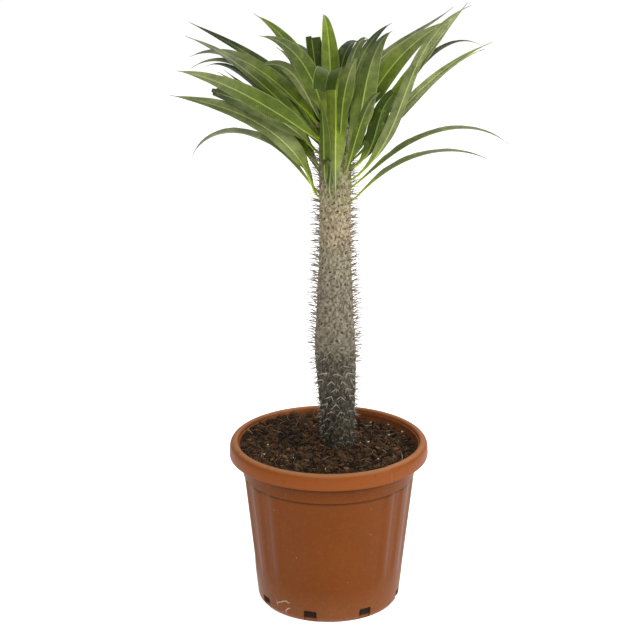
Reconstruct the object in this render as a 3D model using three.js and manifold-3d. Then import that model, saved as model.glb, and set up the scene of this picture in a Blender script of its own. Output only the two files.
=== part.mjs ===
// A Madagascar palm (Pachypodium lamerei, a spiny stem succulent) in a round plastic nursery pot.
// Millimetres, +Z up. The origin is the centre of the pot's foot, on the ground.
// +X is the right of the plant seen from its front, and +Y is behind it.

import * as THREE from 'three';
import { mergeVertices } from 'three/addons/utils/BufferGeometryUtils.js';
import Module from 'manifold-3d';

const wasm = await Module();
wasm.setup();

// ---------------------------------------------------------------- driving dimensions

// Pieces that touch keep this gap. What is cut to the bark stands off a little more, because the
// sides of the tubercles slope across it.
const CLEARANCE = 0.3;
const BARK_CLEARANCE = 0.5;

// Pot: a moulded shell with a turned-down rim, shallow panels and drain slots at its foot. The
// middle of its floor is dished down to the ground, so that the soil's weight can't make it sag.
const POT_HEIGHT = 230;
const POT_SIDES = 48;
const RIM_RADIUS = 135;
const RIM_INNER_RADIUS = 124;
const RIM_SKIRT = 21;
const RIM_THICKNESS = 2.4;
const RIM_DROP_INSIDE = 1.5;
const WALL_TOP_RADIUS = 119.6;
const WALL_FOOT_RADIUS = 97.4;
const WALL_THICKNESS = 2.4;
const FOOT_CHAMFER = 6;
const FOOT_RING_WIDTH = 3;
const FLOOR_LEVEL = 6;
const FLOOR_THICKNESS = 2.5;
const DISH_RADIUS = 34;
const DISH_SLOPE = 5;
const DRAIN_COUNT = 8;
const DRAIN_WIDTH = 16;
const DRAIN_HEIGHT = 16;
const DRAIN_DEPTH = 20;
const DRAIN_FIRST = 30;
const PANEL_TOP = 183;
const PANEL_BOTTOM = 36;
const PANEL_DEPTH = 1.3;
const PANEL_DEPTH_BELOW = 0.7;
const PANEL_REPEATS = 3;
// One third of the wall holds a wide panel and two narrow flutes: middle and width in degrees.
const PANELS = [
  { middle: -88, width: 78 },
  { middle: -37.5, width: 9 },
  { middle: -18.5, width: 9 },
];

// Soil: fills the pot from its floor to a lumpy top, highest in front and round the stem.
const SOIL_SIDES = 44;
const SOIL_RINGS = 9;
const SOIL_LEVEL = 218;
const SOIL_SLOPE = 0.004;
const SOIL_MOUND = 5;
const SOIL_MOUND_RADIUS = 60;
const CLOD_COUNT = 90;
const CLOD_HEIGHT = 3.2;
const CLOD_RADIUS = 17;

// Stem: it leans a little towards the middle of the pot. Its bark radius is given up its height.
const STEM_FOOT = 120;
const STEM_TOP = 681;
const STEM_RINGS_IN_SOIL = [STEM_FOOT, 150, 185, 212];
const STEM_ROOT_TIP = 3;
const STEM_TIP_HEIGHT = 2;
const STEM_TIP_SHARE = 0.9;
const STEM_SHIFT_AT_SOIL = 14;
const STEM_SHIFT_ABOVE = 8;
const STEM_LEAN_FROM = 215;
const STEM_LEAN_TO = 375;
const STEM_BEHIND = 4;
const STEM_RADII = [
  [STEM_FOOT, 8],
  [150, 17.5],
  [190, 21.5],
  [245, 22.5],
  [300, 24.6],
  [354, 26],
  [400, 25.6],
  [450, 23.4],
  [504, 20.8],
  [560, 20],
  [640, 20],
  [662, 17.5],
  [674, 12],
  [STEM_TOP, 6],
];

// Tubercles: a honeycomb of low cones covers the stem, and each bears a pair of spines.
const TUBERCLES_AROUND = 10;
const TUBERCLE_PITCH = 13.4;
const TUBERCLE_FIRST = 232;
const TUBERCLE_LAST = 661;
const TUBERCLE_HEIGHT = 2.2;
const TUBERCLE_TILT = 0.6;
const TUBERCLE_TWIST = 0.0025;
const AREOLE_WIDTH = 4;
const AREOLE_HEIGHT = 3;
const SPINE_LENGTH = 13;
const SPINE_LENGTH_AT_SOIL = 7.5;
const SPINE_GROWS_OVER = 120;
const SPINE_SPREAD = 24;
const SPINE_LIFT = 8;
const SPINE_WANDER = 9;
const SPINE_TO_LEAF = 4.5;

// Leaves: one folded, arching blade each, on a short narrow stalk.
const LEAF_STEPS = 8;
const LEAF_STATIONS = 60;
const LEAF_EDGE = 0.8;
const LEAF_MIDRIB = 2.2;
const LEAF_FOLD = 22;
const LEAF_STALK_WIDTH = 4;
const LEAF_TIP_WIDTH = 1.6;
const LEAF_STALK_LENGTH = 16;
const LEAF_STALK_CLIMB = 38;
const LEAF_ROOT = 3;

// One line for each leaf: the way it faces and the height of its base; its length; how steeply
// it climbs at its base, its middle and its tip; how far it swings round by its tip; its width;
// how far it rolls to one side; and the share of it that is left where its end has broken off.
const LEAF_VALUES = [
  'facing', 'base', 'length', 'climb0', 'climb1', 'climb2', 'turn', 'width', 'roll', 'share',
];
const LEAVES = [
  // right
  [-6.7, 560.2, 209, 49.3, 23, -24, -9.4, 15.4, -31.2, 1],
  [-1.7, 578.4, 232.2, 40, 24.9, -38.1, -4.4, 16.5, -36.1, 1],
  [-23.5, 590.3, 285, 31, 70.5, 26.9, 15.5, 18.7, -59.8, 1],
  [3.5, 601.2, 244.6, 52.5, 46.4, 23.1, -1.2, 15, 41.7, 1],
  [23.8, 610.7, 239.2, 31.3, 40.6, 11.1, 2.6, 17.6, 42.4, 1],
  [-8.3, 621.8, 247.8, 52.2, 55.5, 51.8, 2.1, 25.6, 41.6, 1],
  [40.5, 607.3, 295.7, 32.8, 38.8, -26.7, 2.1, 15.1, 11.8, 1],
  [17.9, 647.7, 207, 65.7, 48.4, 15.6, 4.6, 29.6, 59.4, 1],
  [34.3, 667.4, 215.3, 88.4, 31.5, 34.5, -8.3, 14.2, 14.8, 1],
  [-47, 625.2, 201.9, 52.9, 74.7, 26, -11.1, 31.7, -53.6, 1],
  [-75.1, 651.9, 151.3, 86.2, 56.9, 26.1, -1.5, 22.7, -31.8, 1],
  [49.5, 675.9, 129.6, 73.3, 63.3, -19.7, 19, 15, 45.7, 1],
  [79.3, 654.1, 156.7, 47.4, 50.5, 1.8, -22.4, 23.7, 1.1, 1],
  [55.7, 647.5, 170.5, 89, 61, 17, -14.2, 19.2, 61.8, 1],
  [82, 668, 144.6, 82.7, 53.4, -30.5, -22, 25.8, 1.2, 1],
  [-57.6, 602.4, 174.5, 57.6, 56.3, 13.9, -17, 18.1, -53.2, 1],
  [-27.3, 609.5, 164.6, 10.8, 73.4, -25.6, -5.2, 25.1, -59.7, 0.8],
  // left
  [172.1, 570.3, 211.9, 51.8, 24.5, -63.7, -3, 17.8, 46.1, 1],
  [191.4, 565.6, 252.2, 81, 34.8, 12.5, 2.8, 30.9, -53, 1],
  [191.8, 624.3, 200.9, 52.5, 28.1, 14.2, -5.6, 29.8, -59.2, 0.85],
  [214.4, 641.4, 272.5, 34, 29.2, 14.1, 18.3, 27.9, 59.3, 1],
  [167.9, 658.5, 219.3, 43.5, 29.2, -24.7, -21.1, 25.1, -27.5, 1],
  [207.8, 666.7, 146, 47.2, 52.3, -38, 3.4, 21.2, 52.9, 1],
  [186.2, 644.4, 217, 42.7, 42.5, 21.9, 1.3, 18.7, -52.4, 1],
  [148.6, 665.8, 235.5, 46.2, 26.1, 18.6, 1.6, 14.8, -50.3, 1],
  [156.5, 642.2, 217.3, 38, 34, -32.9, 3, 16.1, -33.9, 1],
  [145.5, 640.1, 240.2, 17.9, 26.4, -21.6, -19.2, 14.7, -26, 1],
  [159.1, 632.7, 161.7, 39.9, 31.4, 35.6, -0.7, 15.2, -15.2, 1],
  [177, 623.6, 167, 43.5, 38.5, 29.9, -13, 23.1, -55, 1],
  [148.1, 600.6, 199.7, 36, 39.4, -1.6, -0.5, 26, 1.8, 1],
  [162.3, 674.6, 161, 67.5, 57.3, 25.4, -3.3, 23.8, -52.8, 1],
  [238.2, 665.8, 186.2, 65.6, 52.6, 11.2, -20.3, 27.8, 54.5, 1],
  [208.5, 674.8, 118.9, 53.1, 59.3, 36.5, -8.3, 16.7, 39.8, 1],
  // front
  [272, 579, 262, 66, 70, -62, 0, 30, 0, 1],
  [240.5, 587, 120, 78.5, 87.3, 71, -2.1, 20, -0.7, 1],
  [256, 570, 80, 55, 46, -60, 0, 16, 0, 1],
  // middle
  [103.9, 674.2, 152.6, 67.5, 72.5, -4.3, -6.7, 25.5, -2.5, 1],
  [131.2, 667.6, 195.4, 65.9, 78.5, 64.6, 1.8, 26.9, -11.2, 0.59],
  // back
  [69.9, 596, 224.7, 44.9, 41.8, 8, 0, 24, -0.2, 1],
  [92, 582, 210, 42, 32, -20, 0, 22, 0, 1],
  [113.4, 603.2, 222.8, 45.6, 44.6, 1.5, -1, 24.7, -5.8, 1],
  [133.2, 584.7, 213.4, 43.2, 34.5, -28.9, -0.2, 23.9, -12, 1],
  [64.1, 630.1, 191.7, 48.5, 35.7, -4, 0.3, 26, 0.2, 1],
  [86, 638, 190, 48, 32, -8, 0, 26, 0, 1],
  [108.3, 646.2, 191.7, 50.4, 34.2, -4.1, -1, 25.8, -0.8, 1],
  [127.6, 628.6, 188.1, 42.4, 31.2, -7.3, 2.8, 22.9, -0.2, 1],
  // heart
  [300, 678, 62, 80, 82, 70, 0, 9, 0, 1],
  [20, 679, 48, 84, 86, 80, 0, 8, 0, 1],
  [70, 679, 56, 84, 84, 70, 0, 9, 0, 1],
  [220, 679, 52, 84, 86, 76, 0, 8, 0, 1],
];

const PLASTIC = { color: '#8f4f24', roughness: 0.42, metalness: 0 };
const POTTING_SOIL = { color: '#3a2718', roughness: 0.95, metalness: 0 };
const BARK = { color: '#7c7a5e', roughness: 0.8, metalness: 0 };
const LEAF_GREEN = { color: '#66803a', roughness: 0.45, metalness: 0 };

// ---------------------------------------------------------------- shared helpers

const radians = THREE.MathUtils.degToRad;
const clamp = THREE.MathUtils.clamp;
const lerp = THREE.MathUtils.lerp;

// A small seeded generator, so that every build draws the same lumps and spines.
function seededRandom(seed) {
  let state = seed;
  return () => {
    state = (state * 1664525 + 1013904223) % 4294967296;
    return state / 4294967296;
  };
}

// Smooth curve through [position, value] points, in rising order of position.
function curveThrough(points, position) {
  const last = points.length - 2;
  const i = clamp(points.findIndex((point) => point[0] > position) - 1, 0, last);
  const k = position >= points[points.length - 1][0] ? last : i;
  const [x0, y0] = points[k];
  const [x1, y1] = points[k + 1];
  const before = points[Math.max(k - 1, 0)];
  const after = points[Math.min(k + 2, points.length - 1)];
  const slope0 = (y1 - before[1]) / (x1 - before[0]);
  const slope1 = (after[1] - y0) / (after[0] - x0);
  const t = clamp((position - x0) / (x1 - x0), 0, 1);
  const span = x1 - x0;
  const ease = t * t * (3 - 2 * t);
  const bend0 = t * (1 - t) * (1 - t) * span * slope0;
  const bend1 = t * t * (t - 1) * span * slope1;
  return y0 + (y1 - y0) * ease + bend0 + bend1;
}

// A closed geometry as a solid for cutting and joining.
function solidOf(geometry) {
  const bare = geometry.clone();
  bare.deleteAttribute('normal');
  bare.deleteAttribute('uv');
  const merged = mergeVertices(bare, 1e-4);
  const vertProperties = new Float32Array(merged.attributes.position.array);
  const triVerts = new Uint32Array(merged.index.array);
  return new wasm.Manifold(new wasm.Mesh({ numProp: 3, vertProperties, triVerts }));
}

// A solid back as a geometry.
function geometryOf(solid) {
  const { vertProperties, triVerts } = solid.getMesh();
  const geometry = new THREE.BufferGeometry();
  geometry.setAttribute('position', new THREE.BufferAttribute(new Float32Array(vertProperties), 3));
  geometry.setIndex(new THREE.BufferAttribute(new Uint32Array(triVerts), 1));
  return geometry;
}

// A closed geometry from a list of corner points and a list of triangles.
function geometryFrom(points, triangles) {
  const geometry = new THREE.BufferGeometry();
  geometry.setAttribute('position', new THREE.Float32BufferAttribute(points.flatMap((p) => p.toArray()), 3));
  geometry.setIndex(triangles);
  return geometry;
}

// A profile of [radius, height] points turned round +Z.
function turned(profile, sides) {
  const points = profile.map(([radius, height]) => new THREE.Vector2(radius, height));
  return new THREE.LatheGeometry(points, sides).rotateX(Math.PI / 2);
}

function named(name, geometry, finish) {
  const mesh = new THREE.Mesh(geometry, new THREE.MeshStandardMaterial({ ...finish, flatShading: true }));
  mesh.name = name;
  return mesh;
}

// ---------------------------------------------------------------- pot

// The wall's outer radius at a height: a plain cone from the foot to the rim.
function wallRadius(height) {
  const share = (height - FOOT_CHAMFER) / (POT_HEIGHT - RIM_SKIRT - FOOT_CHAMFER);
  return lerp(WALL_FOOT_RADIUS, WALL_TOP_RADIUS, share);
}

// The wall's inner radius: a cone like the outside, flared at the rim.
function innerRadius(height) {
  const skirt = POT_HEIGHT - RIM_SKIRT;
  if (height <= skirt) {
    return wallRadius(height) - WALL_THICKNESS;
  }
  const flare = (height - skirt) / (RIM_SKIRT - RIM_DROP_INSIDE);
  return lerp(wallRadius(skirt) - WALL_THICKNESS, RIM_INNER_RADIUS, flare);
}

function potShell() {
  const skirt = POT_HEIGHT - RIM_SKIRT;
  const footOuter = WALL_FOOT_RADIUS - FOOT_CHAMFER * 0.75;
  const footInner = footOuter - FOOT_RING_WIDTH;
  const skirtInner = RIM_RADIUS - RIM_THICKNESS;
  const underCrest = POT_HEIGHT - 2 * RIM_THICKNESS;
  const shell = turned([
    [0, 0],
    [DISH_RADIUS, 0],
    [DISH_RADIUS + DISH_SLOPE, FLOOR_LEVEL - FLOOR_THICKNESS],
    [footInner, FLOOR_LEVEL - FLOOR_THICKNESS],
    [footInner, 0],
    [footOuter, 0],
    [WALL_FOOT_RADIUS, FOOT_CHAMFER],
    [wallRadius(skirt), skirt],
    [wallRadius(underCrest), underCrest],
    [skirtInner - 2, underCrest],
    [skirtInner, underCrest - 3],
    [skirtInner, skirt],
    [RIM_RADIUS - 0.8, skirt],
    [RIM_RADIUS, skirt + 2],
    [RIM_RADIUS - 0.5, POT_HEIGHT - 8],
    [RIM_RADIUS - 2.2, POT_HEIGHT - 3.2],
    [RIM_RADIUS - 5.5, POT_HEIGHT - 0.5],
    [RIM_RADIUS - 8, POT_HEIGHT],
    [RIM_INNER_RADIUS, POT_HEIGHT - RIM_DROP_INSIDE],
    [innerRadius(skirt), skirt],
    [innerRadius(FLOOR_LEVEL), FLOOR_LEVEL],
    [DISH_RADIUS + DISH_SLOPE, FLOOR_LEVEL],
    [DISH_RADIUS, FLOOR_THICKNESS],
    [0, FLOOR_THICKNESS],
  ], POT_SIDES);
  return solidOf(shell);
}

// A slot through the wall at the foot, open at the bottom edge.
function drainSlot(azimuth) {
  const slot = new THREE.BoxGeometry(DRAIN_DEPTH, DRAIN_WIDTH, 2 * DRAIN_HEIGHT);
  slot.translate(WALL_FOOT_RADIUS - FOOT_CHAMFER + DRAIN_DEPTH / 2, 0, 0);
  slot.rotateZ(radians(azimuth));
  return solidOf(slot);
}

// A shallow recess in the wall: a curved band, tapered with the wall from its lower to its upper edge.
function panelRecess(middle, width) {
  const half = radians(width) / 2;
  const band = new THREE.Shape();
  band.absarc(0, 0, 1, -half, half, false);
  band.absarc(0, 0, 1.1, half, -half, true);
  const arcSteps = Math.max(2, Math.round((width * POT_SIDES) / 360));
  const recess = new THREE.ExtrudeGeometry(band, {
    depth: 1,
    bevelEnabled: false,
    curveSegments: arcSteps,
  });
  const bottom = wallRadius(PANEL_BOTTOM) - PANEL_DEPTH_BELOW;
  const top = wallRadius(PANEL_TOP) - PANEL_DEPTH;
  const position = recess.attributes.position;
  for (let i = 0; i < position.count; i += 1) {
    const share = position.getZ(i);
    const radius = lerp(bottom, top, share);
    const height = lerp(PANEL_BOTTOM, PANEL_TOP, share);
    position.setXYZ(i, position.getX(i) * radius, position.getY(i) * radius, height);
  }
  recess.rotateZ(radians(middle));
  return solidOf(recess);
}

function makePot() {
  let pot = potShell();
  for (let i = 0; i < DRAIN_COUNT; i += 1) {
    pot = pot.subtract(drainSlot(DRAIN_FIRST + (i * 360) / DRAIN_COUNT));
  }
  for (let i = 0; i < PANEL_REPEATS; i += 1) {
    for (const panel of PANELS) {
      pot = pot.subtract(panelRecess(panel.middle + (i * 360) / PANEL_REPEATS, panel.width));
    }
  }
  return named('pot', geometryOf(pot), PLASTIC);
}

// ---------------------------------------------------------------- stem

// The stem's middle line at a height.
function stemAxis(height) {
  const share = clamp((height - STEM_LEAN_FROM) / (STEM_LEAN_TO - STEM_LEAN_FROM), 0, 1);
  return new THREE.Vector3(lerp(STEM_SHIFT_AT_SOIL, STEM_SHIFT_ABOVE, share), STEM_BEHIND, height);
}

function stemRadius(height) {
  return curveThrough(STEM_RADII, height);
}

// The way the bark faces: straight out where the stem is straight, and upwards on its dome.
function stemNormal(azimuth, height) {
  const slope = (stemRadius(height + 1) - stemRadius(height - 1)) / 2;
  return new THREE.Vector3(Math.cos(azimuth), Math.sin(azimuth), -slope).normalize();
}

// A point on the stem, stood off its bark by a distance.
function stemPoint(azimuth, height, standOff) {
  const outward = new THREE.Vector3(Math.cos(azimuth), Math.sin(azimuth), 0);
  const onBark = stemAxis(height).addScaledVector(outward, stemRadius(height));
  return onBark.addScaledVector(stemNormal(azimuth, height), standOff);
}

// The stem as one closed skin. standOff swells it evenly, and spined(tip) says where a spine may
// stand. The honeycomb has a corner in every column, shared by the tubercles that meet there.
function stemSkin(standOff, spined) {
  const random = seededRandom(7);
  const points = [];
  const triangles = [];
  const columns = 2 * TUBERCLES_AROUND;
  const level = TUBERCLE_PITCH / 3;
  const rows = Math.round((TUBERCLE_LAST - TUBERCLE_FIRST) / TUBERCLE_PITCH);
  const corners = new Map();

  const azimuthOf = (column, height) => (column * 2 * Math.PI) / columns + TUBERCLE_TWIST * height;
  const addPoint = (point) => points.push(point) - 1;
  const valley = (column, step) => {
    const key = `${((column % columns) + columns) % columns},${step}`;
    if (!corners.has(key)) {
      const height = TUBERCLE_FIRST + step * level;
      const wander = 0.25 * TUBERCLE_HEIGHT * random();
      corners.set(key, addPoint(stemPoint(azimuthOf(column, height), height, standOff - wander)));
    }
    return corners.get(key);
  };
  const ring = (height, radiusShare) => {
    const axis = stemAxis(height);
    return Array.from({ length: columns }, (_, column) => {
      const rim = stemPoint(azimuthOf(column, height), height, standOff);
      return addPoint(axis.clone().lerp(rim, radiusShare));
    });
  };
  const bridge = (lower, upper) => {
    for (let i = 0; i < columns; i += 1) {
      const j = (i + 1) % columns;
      triangles.push(lower[i], lower[j], upper[j], lower[i], upper[j], upper[i]);
    }
  };

  // One tubercle: six corners in the valleys, a small flat areole on top, and two spines on it.
  const tubercle = (column, row) => {
    const step = 3 * row;
    const height = TUBERCLE_FIRST + step * level;
    const azimuth = azimuthOf(column, height);
    const outward = stemNormal(azimuth, height);
    const sideways = new THREE.Vector3(-Math.sin(azimuth), Math.cos(azimuth), 0);
    const up = outward.clone().cross(sideways);
    const stature = TUBERCLE_HEIGHT * (0.8 + 0.3 * random());
    const peak = stemPoint(azimuth, height + TUBERCLE_TILT, standOff + stature);
    const at = (across, along) => peak.clone().addScaledVector(sideways, across).addScaledVector(up, along);
    const left = addPoint(at(AREOLE_WIDTH / 2, 0));
    const low = addPoint(at(0, -AREOLE_HEIGHT / 2));
    const right = addPoint(at(-AREOLE_WIDTH / 2, 0));
    const high = addPoint(at(0, AREOLE_HEIGHT / 2));
    const bottom = valley(column, step - 2);
    const lowerLeft = valley(column + 1, step - 1);
    const upperLeft = valley(column + 1, step + 1);
    const top = valley(column, step + 2);
    const upperRight = valley(column - 1, step + 1);
    const lowerRight = valley(column - 1, step - 1);
    triangles.push(bottom, lowerLeft, low, lowerLeft, left, low, lowerLeft, upperLeft, left);
    triangles.push(upperLeft, high, left, upperLeft, top, high, top, upperRight, high);
    triangles.push(upperRight, right, high, upperRight, lowerRight, right);
    triangles.push(lowerRight, low, right, lowerRight, bottom, low);

    const grown = clamp((height - TUBERCLE_FIRST) / SPINE_GROWS_OVER, 0, 1);
    const reach = lerp(SPINE_LENGTH_AT_SOIL, SPINE_LENGTH, grown) * (0.88 + 0.24 * random());
    for (const side of [1, -1]) {
      const spread = radians(side * SPINE_SPREAD + SPINE_WANDER * (2 * random() - 1));
      const lift = radians(SPINE_LIFT + SPINE_WANDER * (2 * random() - 1));
      const along = outward.clone().multiplyScalar(Math.cos(spread) * Math.cos(lift));
      along.addScaledVector(sideways, Math.sin(spread) * Math.cos(lift));
      along.addScaledVector(up, Math.sin(lift));
      const outer = side > 0 ? left : right;
      const face = side > 0 ? [low, left, high] : [high, right, low];
      const foot = at((side * AREOLE_WIDTH) / 6, 0);
      const tip = foot.clone().addScaledVector(along, reach);
      if (!spined(foot, tip)) {
        triangles.push(...face);
        continue;
      }
      const point = addPoint(tip);
      triangles.push(face[0], face[1], point, face[1], face[2], point, face[2], face[0], point);
    }
  };

  for (let row = 0; row <= rows; row += 1) {
    for (let i = 0; i < TUBERCLES_AROUND; i += 1) {
      tubercle(2 * i + (row % 2), row);
    }
  }

  const border = (row, away) => Array.from({ length: columns }, (_, column) => {
    const underPeak = (column - row) % 2 === 0;
    return valley(column, 3 * row + away * (underPeak ? 2 : 1));
  });
  const buried = STEM_RINGS_IN_SOIL.map((height) => ring(height, 1));
  bridge(buried[2], buried[3]);
  bridge(buried[1], buried[2]);
  bridge(buried[0], buried[1]);
  bridge(buried[3], border(0, -1));
  const crown = ring(STEM_TOP - STEM_TIP_HEIGHT, STEM_TIP_SHARE);
  bridge(border(rows, 1), crown);
  const footPole = addPoint(stemAxis(STEM_FOOT - STEM_ROOT_TIP - standOff));
  const topPole = addPoint(stemAxis(STEM_TOP + standOff));
  for (let i = 0; i < columns; i += 1) {
    const j = (i + 1) % columns;
    triangles.push(footPole, buried[0][j], buried[0][i], topPole, crown[i], crown[j]);
  }
  return geometryFrom(points, triangles);
}

// ---------------------------------------------------------------- leaves

// Half the blade's width along its length, as a share of its widest.
function bladeShare(s) {
  return Math.sin(Math.PI * s ** 0.75) ** 0.9;
}

// Value at s of the parabola through its values at the base, the middle and the tip.
function alongLeaf(base, middle, tip, s) {
  return base * (2 * s - 1) * (s - 1) + middle * 4 * s * (1 - s) + tip * s * (2 * s - 1);
}

// Points down the middle of a leaf, each with the blade's own sideways and upward directions.
function leafSpine(leaf) {
  const swing = (s) => radians(leaf.facing + leaf.turn * s);
  const outward = new THREE.Vector3(Math.cos(swing(0)), Math.sin(swing(0)), 0);
  const start = Math.max(stemRadius(leaf.base) - LEAF_ROOT, 0);
  const place = stemAxis(leaf.base).addScaledVector(outward, start);
  const stations = [];
  for (let i = 0; i <= LEAF_STATIONS; i += 1) {
    const s = i / LEAF_STATIONS;
    const out = clamp((s * leaf.length) / LEAF_STALK_LENGTH, 0, 1);
    const climbed = alongLeaf(leaf.climb0, leaf.climb1, leaf.climb2, s);
    const climb = radians(lerp(Math.min(LEAF_STALK_CLIMB, climbed), climbed, out * out));
    const heading = swing(s);
    const flat = new THREE.Vector3(Math.cos(heading), Math.sin(heading), 0);
    const level = new THREE.Vector3(-flat.y, flat.x, 0);
    const ahead = flat.clone().multiplyScalar(Math.cos(climb)).setZ(Math.sin(climb));
    const above = flat.clone().multiplyScalar(-Math.sin(climb)).setZ(Math.cos(climb));
    const roll = radians(leaf.roll) * clamp(3 * s, 0, 1);
    const side = level.clone().multiplyScalar(Math.cos(roll)).addScaledVector(above, Math.sin(roll));
    const up = above.clone().multiplyScalar(Math.cos(roll)).addScaledVector(level, -Math.sin(roll));
    stations.push({ s, place: place.clone(), side, up });
    place.addScaledVector(ahead, leaf.length / LEAF_STATIONS);
  }
  return stations;
}

// The station of a leaf nearest to a share of its length.
function stationAt(stations, s) {
  return stations[Math.round(s * (stations.length - 1))];
}

// The blade: folded up from its midrib, thin at its edges, thicker at the rib underneath.
function bladeGeometry(leaf) {
  const points = [];
  const triangles = [];
  const stations = leafSpine(leaf);
  const fold = radians(LEAF_FOLD);
  for (let i = 0; i <= LEAF_STEPS; i += 1) {
    const { s, place, side, up } = stationAt(stations, (leaf.share * i) / LEAF_STEPS);
    const narrowest = lerp(LEAF_STALK_WIDTH, LEAF_TIP_WIDTH, s) / 2;
    const half = Math.max(narrowest, (leaf.width / 2) * bladeShare(s));
    const rise = half * Math.sin(fold);
    const reach = half * Math.cos(fold);
    const rib = lerp(LEAF_MIDRIB, LEAF_EDGE, s);
    const at = (across, above) => place.clone().addScaledVector(side, across).addScaledVector(up, above);
    points.push(at(reach, rise), at(0, 0), at(-reach, rise));
    points.push(at(-reach, rise - LEAF_EDGE), at(0, -rib), at(reach, rise - LEAF_EDGE));
  }
  const section = 6;
  for (let i = 0; i < LEAF_STEPS; i += 1) {
    for (let k = 0; k < section; k += 1) {
      const a = i * section + k;
      const b = i * section + ((k + 1) % section);
      const c = a + section;
      const d = b + section;
      // The lower face is split along the same diagonals as the upper one.
      if (k === 3 || k === 4) {
        triangles.push(a, b, c, b, d, c);
      } else {
        triangles.push(a, b, d, a, d, c);
      }
    }
  }
  const end = LEAF_STEPS * section;
  triangles.push(0, 5, 1, 1, 5, 4, 1, 4, 2, 2, 4, 3);
  triangles.push(end, end + 1, end + 5, end + 1, end + 4, end + 5);
  triangles.push(end + 1, end + 2, end + 4, end + 2, end + 3, end + 4);
  return geometryFrom(points, triangles);
}

const leaves = LEAVES.map((row) => Object.fromEntries(row.map((value, i) => [LEAF_VALUES[i], value])));
const leafSpines = leaves.map(leafSpine);

// A spine is left off where it would touch a leaf.
function clearOfLeaves(foot, tip) {
  const along = [0.3, 0.65, 1].map((share) => foot.clone().lerp(tip, share));
  return leafSpines.every((stations, index) => stations.every(({ s, place, side }) => {
    if (place.distanceTo(tip) > SPINE_LENGTH + leaves[index].width) {
      return true;
    }
    const half = Math.max(LEAF_STALK_WIDTH / 2, (leaves[index].width / 2) * bladeShare(s));
    return [-1, -0.5, 0, 0.5, 1].every((across) => {
      const spot = place.clone().addScaledVector(side, across * half);
      return along.every((point) => spot.distanceTo(point) > SPINE_TO_LEAF);
    });
  }));
}

const stem = stemSkin(0, clearOfLeaves);
const stemRoom = solidOf(stemSkin(BARK_CLEARANCE, () => false));

function makeLeaf(leaf, index) {
  const blade = solidOf(bladeGeometry(leaf)).subtract(stemRoom);
  return named(`leaf_${String(index + 1).padStart(2, '0')}`, geometryOf(blade), LEAF_GREEN);
}

// ---------------------------------------------------------------- soil

// Clods: low rounded lumps strewn over the soil's top.
const clods = (() => {
  const random = seededRandom(21);
  return Array.from({ length: CLOD_COUNT }, () => {
    const azimuth = 2 * Math.PI * random();
    const distance = RIM_INNER_RADIUS * Math.sqrt(random());
    const radius = CLOD_RADIUS * (0.55 + 0.45 * random());
    const height = CLOD_HEIGHT * (random() - 0.3);
    return { x: distance * Math.cos(azimuth), y: distance * Math.sin(azimuth), radius, height };
  });
})();

function soilHeight(x, y) {
  const axis = stemAxis(SOIL_LEVEL);
  const fromStem = Math.hypot(x - axis.x, y - axis.y) / SOIL_MOUND_RADIUS;
  let height = SOIL_LEVEL - SOIL_SLOPE * y + SOIL_MOUND * Math.exp(-fromStem * fromStem);
  for (const clod of clods) {
    const near = 1 - ((x - clod.x) ** 2 + (y - clod.y) ** 2) / clod.radius ** 2;
    height += near > 0 ? clod.height * near * near : 0;
  }
  return height;
}

function makeSoil() {
  const floor = FLOOR_LEVEL + CLEARANCE;
  // The facets of the pot's wall cut across its curve, so the soil stands off by that much more.
  const facetSag = WALL_TOP_RADIUS * (1 - Math.cos(Math.PI / POT_SIDES));
  const edge = (height) => innerRadius(height) - CLEARANCE - facetSag;
  const skirt = POT_HEIGHT - RIM_SKIRT;
  const dish = FLOOR_THICKNESS + CLEARANCE;
  const profile = [
    [0, dish],
    [DISH_RADIUS - CLEARANCE, dish],
    [DISH_RADIUS + DISH_SLOPE - CLEARANCE, floor],
    [edge(floor), floor],
    [edge(skirt), skirt],
  ];
  const rimEdge = edge(SOIL_LEVEL);
  for (let i = SOIL_RINGS; i >= 1; i -= 1) {
    profile.push([(rimEdge * i) / SOIL_RINGS, SOIL_LEVEL]);
  }
  profile.push([0, SOIL_LEVEL]);
  const body = turned(profile, SOIL_SIDES);
  const position = body.attributes.position;
  for (let i = 0; i < position.count; i += 1) {
    if (position.getZ(i) > SOIL_LEVEL - 1) {
      const x = position.getX(i);
      const y = position.getY(i);
      const height = Math.max(soilHeight(x, y), skirt + 1);
      const inward = Math.min(1, edge(height) / Math.max(Math.hypot(x, y), 1));
      position.setXYZ(i, x * inward, y * inward, height);
    }
  }
  return named('soil', geometryOf(solidOf(body).subtract(stemRoom)), POTTING_SOIL);
}

// ---------------------------------------------------------------- the plant in its pot

const palm = new THREE.Group();
palm.name = 'madagascar_palm';
palm.add(makePot(), makeSoil(), named('stem', stem, BARK), ...leaves.map(makeLeaf));

export default palm;
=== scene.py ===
import math

import bmesh
import bpy
import numpy as np
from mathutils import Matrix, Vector, noise


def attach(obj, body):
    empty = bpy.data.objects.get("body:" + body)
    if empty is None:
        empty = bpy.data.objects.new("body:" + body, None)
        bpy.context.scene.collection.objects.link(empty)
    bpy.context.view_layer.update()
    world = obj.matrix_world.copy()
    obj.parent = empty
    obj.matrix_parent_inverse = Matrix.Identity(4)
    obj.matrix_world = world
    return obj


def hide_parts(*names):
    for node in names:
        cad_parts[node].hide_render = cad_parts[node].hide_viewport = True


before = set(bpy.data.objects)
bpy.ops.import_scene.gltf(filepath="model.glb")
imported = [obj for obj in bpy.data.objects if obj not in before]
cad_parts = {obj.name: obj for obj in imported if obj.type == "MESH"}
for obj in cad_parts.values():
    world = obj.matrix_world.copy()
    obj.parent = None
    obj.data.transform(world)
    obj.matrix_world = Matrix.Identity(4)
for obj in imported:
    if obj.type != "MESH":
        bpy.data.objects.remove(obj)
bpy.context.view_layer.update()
scene = bpy.context.scene

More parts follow.
